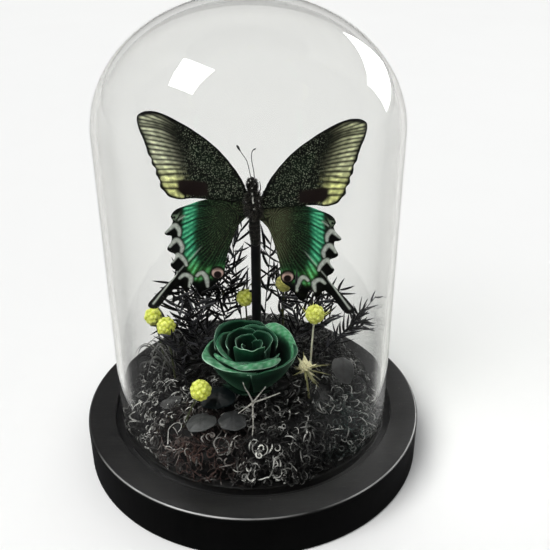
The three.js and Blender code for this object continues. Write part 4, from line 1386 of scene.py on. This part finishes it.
def add_rose():
    finish = painted(
        "green_petal", (420, 4, 0.6), (0.72, 1.25), 0.52, (1100, 3), 0.00009, Sheen_Weight=0.12,
        Sheen_Roughness=0.4, Sheen_Tint=(0.3, 0.9, 0.5), Specular_IOR_Level=0.35,
    )
    for order in range(len(PETAL_TURNS)):
        petal = Parts()
        petal.add(*petal_mesh(order))
        petal.make(f"petal_{order + 1}", finish, "green_petal", f"rose_petal_{order + 1}")
    add_calyx(finish)


# ---- Stems, sprigs, flowers and leaves ----

ROOT_DEPTH = 5


def moss_height(x, y):
    return MOSS_FLOOR + np.interp(math.hypot(x, y), side_radius[:-1], side_height[:-1])


def stem_line(root, bend, tip):
    """The curve from a root pushed into the moss, through a bend, to a tip."""
    return bezier((*root, moss_height(*root) - ROOT_DEPTH), bend, tip, 24)


# Root on the moss, bend and tip of each sprig's stem; then the number of its side branches and their length,
# the length of its needles, their lean from the stem in degrees, and how many stand on each branch.
SPRIGS = {
    "needle_sprig_1": ((25, 5), (40, 5, 50), (55, 4, 72), 1, 9, 8.6, 48, 6),
    "needle_sprig_2": ((23, 12), (30, 14, 52), (35, 13, 71), 3, 11, 9.4, 56, 8),
    "needle_sprig_3": ((10, 20), (14, 22, 58), (19, 19, 84), 5, 14, 10.0, 54, 8),
    "needle_sprig_4": ((15, 7), (20, 5, 54), (25, 7, 74), 4, 12, 9.4, 54, 8),
    "needle_sprig_5": ((-10, 14), (-14, 13, 60), (-16, 14, 84), 8, 14, 10.0, 62, 10),
    "needle_sprig_6": ((-17, 15), (-26, 18, 56), (-31, 16, 80), 5, 13, 11.0, 64, 9),
    "needle_sprig_7": ((-22, 6), (-29, 6, 54), (-35, 7, 69), 3, 12, 10.6, 64, 8),
    "needle_sprig_8": ((-20, -3), (-24, -4, 54), (-27, -4, 71), 3, 12, 9.6, 60, 8),
    "needle_sprig_9": ((-28, -16), (-30, -15, 52), (-31, -14, 61), 2, 8, 7.6, 56, 7),
    "needle_sprig_10": ((35, 14), (44, 16, 50), (50, 15, 53), 2, 9, 9.0, 56, 8),
    "bare_twig_left": ((-4, 15), (-6, 15, 70), (-9, 13, 103), 3, 11, 10.0, 36, 5),
    "bare_twig_right": ((4, 17), (7, 18, 70), (9, 14, 99), 2, 11, 9.6, 42, 4),
}
BLADE_HALVES = {"bare_twig_right": 0.78, "needle_sprig_1": 0.44}  # half widths of the needles that differ, in mm
# Half widths along a needle and along a bract, as shares of its greatest.
NEEDLE_PROFILE = np.array([0.5, 0.85, 1.0, 1.0, 0.85, 0.55, 0.12])
BRACT_PROFILE = np.array([0.55, 0.9, 1.0, 0.9, 0.65, 0.35, 0.06])
NEEDLE_BLACK = np.array([0.0012, 0.0012, 0.0016])
NEEDLE_GREY = np.array([0.075, 0.075, 0.085])
GRASS_GREY = np.array([0.26, 0.26, 0.25])


def along_line(rows, at):
    """The rows of a line at fractional numbers, such as 2.5 for halfway from row 2 to row 3."""
    return np.stack([np.interp(at, np.arange(len(rows)), column) for column in rows.T], axis=-1)


def needles_on(line, count, start, length, lean_turn, picks):
    """Needle paths in two loose rows along a stem line."""
    at = np.linspace(start, 0.99, count) * (len(line) - 1)
    along = unit(along_line(unit(np.gradient(line, axis=0)), at))
    side = unit(np.cross(along, [[0, 1.0, 0]]) + picks.normal(0, 0.2, (count, 3)))
    flip = np.where(np.arange(count) % 2 == 0, 1.0, -1.0)[:, None]
    lateral = unit(side * flip + np.array([[0, 1.0, 0]]) * picks.normal(0, 0.55, (count, 1)))
    turn = np.radians(lean_turn * picks.uniform(0.75, 1.2, (count, 1)))
    aim = along * np.cos(turn) + lateral * np.sin(turn)
    size = length * picks.uniform(0.7, 1.12, (count, 1)) * np.linspace(1.0, 0.72, count)[:, None]
    bow = unit(along + picks.normal(0, 0.35, (count, 3)))
    return strands(along_line(line, at), aim, 0.36 * bow, size, len(NEEDLE_PROFILE))


def side_branches(line, count, length, picks):
    """Side branches of a stem line, to its left and right in turn."""
    way = unit(np.gradient(line, axis=0))
    branches = []
    for k in range(count):
        at = int((0.38 + 0.54 * (k + 0.5) / count) * (len(line) - 1))
        side = unit(np.cross(way[at], [0, 1.0, 0])) * (1 if k % 2 else -1)
        aim = unit(way[at] * 0.8 + side * picks.uniform(0.35, 0.8) + [0, picks.normal(0, 0.35), 0.1])
        size = np.array([[length * picks.uniform(0.75, 1.1)]])
        branches.extend(strands(line[at:at + 1], aim[None], np.array([[0, 0, 0.16]]), size, 12))
    return branches


def add_sprig(node, root, bend, tip, branches, branch_length, needle, lean_turn, count, blade):
    picks = np.random.default_rng(sum(ord(letter) for letter in node) * 7 + len(node))
    stem = stem_line(root, bend, tip)
    # Each line with its radius, the number of its needles and where along it they start.
    lines = [(stem, 0.38, 2 * count, 0.30)]
    lines += [(branch, 0.22, count, 0.12) for branch in side_branches(stem, branches, branch_length, picks)]
    sprig = Parts()
    for line, thick, number, start in lines:
        grey = blend(NEEDLE_BLACK, NEEDLE_GREY, picks.uniform(0.04, 0.25))
        sprig.add(*stalk(line, thick, 0.45 * thick, 6), grey)
        paths = needles_on(line, number, start, needle, lean_turn, picks)
        needles = blades(paths, blade * NEEDLE_PROFILE, 0.2, 0.8, picks)
        shade = blend(NEEDLE_BLACK, NEEDLE_GREY, picks.random(number) ** 3.5)
        sprig.add(*needles, np.repeat(shade, len(NEEDLE_PROFILE) * BLADE_SIDES, axis=0))
    sprig.make(node + "_leaves", NEEDLE_FINISH, "black_needle", node)


GRASS_ROOT = (-34, -4)
GRASS_STEPS = 16
# The drooping tuft's blades of grass: the arch's top and the tip.
GRASS_BLADES = [
    ((-44.6, -6, 55.5), (-52.8, -7, 47.4)), ((-45.1, -7, 49.2), (-51.5, -9, 42.5)),
    ((-46, -5, 54), (-51, -6, 44.7)),
    ((-48, -6, 50), (-50.1, -8, 39.2)), ((-42, -9, 51), (-46, -12, 41)), ((-40, -3, 57), (-47.5, -2, 48)),
    ((-43, 0, 53), (-49, 2, 44)), ((-38, -10, 49), (-40, -15, 41)), ((-36, -3, 60), (-41.5, -3, 59)),
    ((-45, -8, 47.5), (-49.5, -10, 46)), ((-34.5, -6, 56), (-33, -9, 45)), ((-31, -5, 57), (-24, -7, 47)),
    ((-33.5, -4, 61), (-27, -6, 52)), ((-41, -6, 47.5), (-47.5, -8, 47.7)), ((-39, -7, 56), (-44, -10, 50)),
]


def add_grass():
    picks = np.random.default_rng(77)
    base = np.array([*GRASS_ROOT, moss_height(*GRASS_ROOT) - ROOT_DEPTH + 2])
    paths = []
    for top, tip in GRASS_BLADES:
        start = base + np.append(picks.normal(0, 1.2, 2), 0)
        # The bend is set so that the curve passes through the arch's top halfway along.
        bend = 2 * np.array(top) - 0.5 * start - 0.5 * np.array(tip)
        paths.append(bezier(start, bend, tip, GRASS_STEPS))
    profile = 0.58 * np.sin(np.pi * np.linspace(0.22, 0.985, GRASS_STEPS))
    grass = blades(np.array(paths), profile, 0.2, 0.4, picks)
    shade = blend(NEEDLE_BLACK, GRASS_GREY, picks.random(len(paths)) ** 1.3)
    tuft = Parts()
    tuft.add(*grass, np.repeat(shade, GRASS_STEPS * BLADE_SIDES, axis=0))
    tuft.make("grass", NEEDLE_FINISH, "black_needle", "grass_tuft")


# Centre and radius of each ball flower's head, where its stem meets the moss, and how olive it has faded.
BALL_FLOWERS = [
    ((-44.3, 8, 61.1), 4.3, (-40, 5), 0.0), ((-37, -6, 64.7), 4.1, (-34, -9), 0.0),
    ((-20.9, -36, 53.2), 4.3, (-30, -36), 0.0), ((-3.2, 13, 67.3), 4.0, (-2, 16), 0.1),
    ((14.2, 10, 76), 3.8, (14, 17), 0.8), ((27, -4, 68.4), 4.2, (25, -7), 0.25),
]
FLOWER_YELLOW = np.array([0.62, 0.68, 0.05])
# FLOWER_LIGHT is the florets' painted highlight, and the colour of the shaggy flower's pale bracts.
FLOWER_LIGHT = np.array([0.88, 0.92, 0.24])
FLOWER_OLIVE = np.array([0.26, 0.235, 0.075])
BRACT_GREEN = np.array([0.035, 0.042, 0.016])
PALE_STEM = np.array([0.46, 0.46, 0.34])
CREAM = np.array([0.70, 0.66, 0.42])
CREAM_SHADE = np.array([0.36, 0.33, 0.19])
STAR_OLIVE = np.array([0.15, 0.145, 0.065])
SHAGGY_FLOWER = 6  # the ball flower with a pale stem and long pale bracts
STEM_BEND = 8  # how far below its head a flower's stem bends, in mm
STAR_HEAD = np.array([21.8, -23, 54.2])
STAR_ROOT = (24, -24)
# Rings of the star flower's blades: lean from its axis in degrees, number, length, half width and colour.
STAR_RINGS = [
    (28, 6, 3.8, 1.6, CREAM), (56, 8, 4.3, 1.5, CREAM * 0.95), (84, 6, 5.2, 0.7, CREAM * 0.6),
    (106, 9, 6.6, 0.5, STAR_OLIVE * 1.8),
]


def flower_finish(name):
    return painted(
        name, (1500, 3), (0.72, 1.22), 0.75, (2500, 2), 0.00008, Subsurface_Weight=0.12, Subsurface_Scale=0.001,
        Subsurface_Radius=(1.0, 0.8, 0.3),
    )


def sphere_spots(count):
    """Even directions over a sphere."""
    height = 1 - 2 * (np.arange(count) + 0.5) / count
    return polar(np.sqrt(1 - height**2), np.arange(count) * math.pi * (3 - math.sqrt(5)), height)


def flower_stem(head, root):
    x, y, z = head
    return stem_line(root, ((x + root[0]) / 2, (y + root[1]) / 2, z - STEM_BEND), (x, y, z - 1))


def bracts(centre, axis, count, reach, width, turn_out, picks):
    """Pointed blades round an axis, leaning out from it by an angle in degrees."""
    axis = unit(np.asarray(axis, float))
    side = unit(np.cross(axis, [0.3, 1.0, 0.2]))
    turns = 2 * np.pi * np.arange(count)[:, None] / count + picks.uniform(0, 0.5, (count, 1))
    out = side * np.cos(turns) + np.cross(axis, side) * np.sin(turns)
    leans = np.radians(turn_out * picks.uniform(0.8, 1.2, (count, 1)))
    aim = axis * np.cos(leans) + out * np.sin(leans)
    size = reach * picks.uniform(0.75, 1.15, (count, 1))
    paths = strands(centre[None], aim, 0.22 * axis[None], size, len(BRACT_PROFILE))
    return blades(paths, width * BRACT_PROFILE, 0.15, 0.35, picks)


def florets(centre, radius, order, dark, light, picks):
    """The small round florets all over a ball flower's head, with a painted highlight on their outer side."""
    spots = sphere_spots(46)
    spots = unit(spots + picks.normal(0, 0.06, spots.shape))
    swell = 1 + 0.05 * np.sin(spots[:, 0] * 5 + order) * np.cos(spots[:, 2] * 6)
    places = centre + spots * (radius * 0.67 * swell)[:, None]
    sizes = radius * picks.uniform(0.32, 0.38, len(spots))
    points, faces = balls(places, sizes, 9, 12)
    outward = np.sum((points.reshape(len(spots), -1, 3) - places[:, None]) * spots[:, None], axis=2)
    high = smoothstep(0.55, 0.98, outward / sizes[:, None]) * picks.uniform(0.4, 1.0, (len(spots), 1))
    return points, faces, blend(dark, light, high).reshape(-1, 3)


def add_ball_flower(order, head, radius, root, faded, finish):
    picks = np.random.default_rng(900 + order)
    centre = np.array(head, float)
    yellow = blend(FLOWER_YELLOW, FLOWER_OLIVE, faded)
    light = blend(FLOWER_LIGHT, FLOWER_OLIVE * 1.6, faded)
    shaggy = order == SHAGGY_FLOWER
    line = flower_stem(head, root)
    axis = unit(line[-1] - line[-4])
    flower = Parts()
    flower.add(*stalk(line, 0.5, 0.34, 8), PALE_STEM if shaggy else BRACT_GREEN * 1.2)
    # The darker core ball shows between the florets as painted shade.
    flower.add(*balls([centre], [radius * 0.8], 12, 18), yellow * 0.6)
    flower.add(*florets(centre, radius, order, yellow * 0.8, light, picks))
    cup = bracts(centre - axis * radius * 0.9, axis, 8, radius * 1.05, 0.62, 62, picks)
    flower.add(*cup, BRACT_GREEN + yellow * 0.10)
    if shaggy:
        fringe = bracts(centre - axis * radius * 0.6, axis, 12, radius * 1.7, 0.4, 58, picks)
        flower.add(*fringe, FLOWER_LIGHT * 0.8)
    flower.make(f"flower_{order}", finish, "yellow_flower", f"ball_flower_{order}")


def add_star_flower(finish):
    picks = np.random.default_rng(31)
    flower = Parts()
    flower.add(*stalk(flower_stem(STAR_HEAD, STAR_ROOT), 0.5, 0.36, 8), STAR_OLIVE * 1.3)
    flower.add(*balls([STAR_HEAD + [0, 0, 0.4]], [(2.6, 2.3, 2.1)], 12, 16), CREAM_SHADE)
    spots = sphere_spots(70)
    spots = spots[spots[:, 2] > -0.2]
    grains = STAR_HEAD + [0, 0, 0.5] + spots * [2.5, 2.2, 2.0]
    flower.add(*balls(grains, np.full(len(spots), 0.48), 5, 7), CREAM)
    for lean_out, count, reach, width, tone in STAR_RINGS:
        ring = bracts(STAR_HEAD - [0, 0, 0.6], (0.1, -0.35, 1), count, reach, width, lean_out, picks)
        flower.add(*ring, tone)
    flower.add(*bracts(STAR_HEAD - [0, 0, 0.8], (0.75, -0.6, -0.05), 9, 8.6, 0.5, 38, picks), STAR_OLIVE)
    flower.make("star", finish, "cream_flower", "star_flower")


LEAF_RINGS = 16
LEAF_SEGMENTS = 56
LEAF_DOME = 1.4  # how far the middle of a leaf stands above its rim, in mm
# Rounded leaves lying on the moss: centre, half length and half width, slopes, and colour.
DARK_LEAVES = [
    ((-21, -39.2, 39.4), (6, 5.2), (0.14, 0.08), (0.050, 0.052, 0.052)),
    ((-8.4, -39.6, 40), (5.6, 5.4), (-0.06, 0.12), (0.030, 0.031, 0.032)),
    # The third leaf, under the rose, is teal darkened almost to black as painted shade.
    ((-14.4, -31.2, 45.4), (7.2, 5.2), (0.1, 0.3), (0.0016, 0.0045, 0.0055)),
    ((39.4, -11, 43.8), (5.0, 4.2), (-0.3, 0.95), (0.030, 0.030, 0.030)),
    ((-34.7, -24.8, 38.6), (4.4, 3), (0.3, 0.25), (0.050, 0.050, 0.050)),
]


def add_leaf(order, centre, half, slope, colour, finish):
    """A domed oval leaf with a sunk midrib and side veins, painted shade along the midrib, painted light toward
    its back and a painted highlight on its rim.
    """
    centre, colour = np.array(centre, float), np.array(colour)
    reach = np.linspace(0, 1, LEAF_RINGS + 1)[1:, None]
    turn = 2 * np.pi * np.arange(LEAF_SEGMENTS) / LEAF_SEGMENTS
    phase = np.random.default_rng(60 + order).uniform(0, 6.3, 2)
    outline = 1 + 0.05 * np.sin(3 * turn + phase[0]) + 0.03 * np.sin(7 * turn + phase[1])
    outline = outline + 0.012 * np.sin(17 * turn)
    across, along = reach * np.cos(turn) * outline, reach * np.sin(turn) * outline
    rib = 0.12 * np.exp(-((across / 0.10) ** 2)) * (1 - reach**3)
    veins = 0.06 * smoothstep(0.55, 1, np.sin((along + 0.8 * np.abs(across)) * 13)) * (1 - reach**4)
    curl = 0.22 * np.sin(2 * turn + phase[0]) * reach**3
    level = LEAF_DOME * (1 - reach**2) - rib - veins + curl + 0.26 - 0.12 * reach**2
    x, y = half[0] * across, half[1] * along
    top = centre + np.stack([x, y, x * slope[0] + y * slope[1] + level], axis=-1)
    low = top.copy()
    low[..., 2] -= 0.5 - 0.26 * reach**2
    heart = centre + [0, 0, LEAF_DOME - 0.04]
    points = np.concatenate([[heart], top.reshape(-1, 3), [heart - [0, 0, 0.5]], low.reshape(-1, 3)])
    ring = 1 + np.arange(LEAF_RINGS * LEAF_SEGMENTS).reshape(LEAF_RINGS, LEAF_SEGMENTS)
    quads = quads_of(ring, True)
    fan = np.stack([np.zeros(LEAF_SEGMENTS, int), ring[0], np.roll(ring[0], -1)], axis=-1)
    shift = LEAF_RINGS * LEAF_SEGMENTS + 1
    faces = [quads, fan, quads[:, ::-1] + shift, fan[:, ::-1] + shift, wall(ring[-1], shift)]
    # Painted shade along the midrib, painted light toward the leaf's back and a painted highlight along its rim.
    tone = colour * (1 - 0.22 * np.exp(-((across / 0.08) ** 2)))[..., None]
    tone = tone * (0.75 + 0.45 * smoothstep(-0.2, 1.0, along))[..., None]
    tone = blend(tone, colour * 2.2, 0.6 * smoothstep(0.9, 1.0, reach)).reshape(-1, 3)
    leaf = Parts()
    leaf.add(points, faces, np.concatenate([[colour], tone, [colour * 0.6], tone * 0.6]))
    leaf.make(f"leaf_{order}", finish, "dark_leaf", f"dark_leaf_{order}")


TWIG_TONE = (0.2, 0.2, 0.2)
TWIG_FORK = (-0.1, -40.5, 50)
TWIG_ENDS = [(-3.8, -40.5, 60), (4.8, -40.5, 57.5), (10.5, -40, 54), (-6, -41.5, 45.5), (-0.4, -46, 37.6)]


def add_pale_twig():
    finish, n = material("dry_twig")
    bark = n.noise(1600, 3)
    colour = n.mix(n.remap(bark, 0.35, 0.7), (0.15, 0.145, 0.13), (0.52, 0.51, 0.47))
    n.surface(colour, 0.7, n.bump(bark, 0.0001))
    twig = Parts()
    fork = np.array(TWIG_FORK, float)
    share = np.linspace(0, 1, 14)
    knots = 1 + 0.22 * np.exp(-(((share - 0.45) / 0.05) ** 2))
    radii = (0.36 - 0.16 * share) * knots
    for k, end in enumerate(TWIG_ENDS):
        sway = np.sin(share * np.pi * 2 + k) * share
        line = fork + (end - fork) * share[:, None] + np.array([0.25, 0.12, 0.18]) * sway[:, None]
        twig.add(*tubes(line[None], radii[None], 8), TWIG_TONE)
    twig.add(*balls([TWIG_FORK], [0.44], 8, 10), TWIG_TONE)
    twig.make("twig", finish, "dry_twig", "pale_twig")


add_rose()
NEEDLE_FINISH = painted("black_needle", (900, 2), (0.6, 1.4), 0.45, (1800, 2), 0.00006, Specular_IOR_Level=0.2)
for node, shape in SPRIGS.items():
    add_sprig(node, *shape, blade=BLADE_HALVES.get(node, 0.62))
add_grass()
YELLOW_FINISH = flower_finish("yellow_flower")
for order, flower in enumerate(BALL_FLOWERS, 1):
    add_ball_flower(order, *flower, YELLOW_FINISH)
add_star_flower(flower_finish("cream_flower"))
LEAF_FINISH = painted("dark_leaf", (500, 4), (0.7, 1.3), 0.46, (1200, 3), 0.00007, Specular_IOR_Level=0.3)
for order, leaf in enumerate(DARK_LEAVES, 1):
    add_leaf(order, *leaf, LEAF_FINISH)
add_pale_twig()
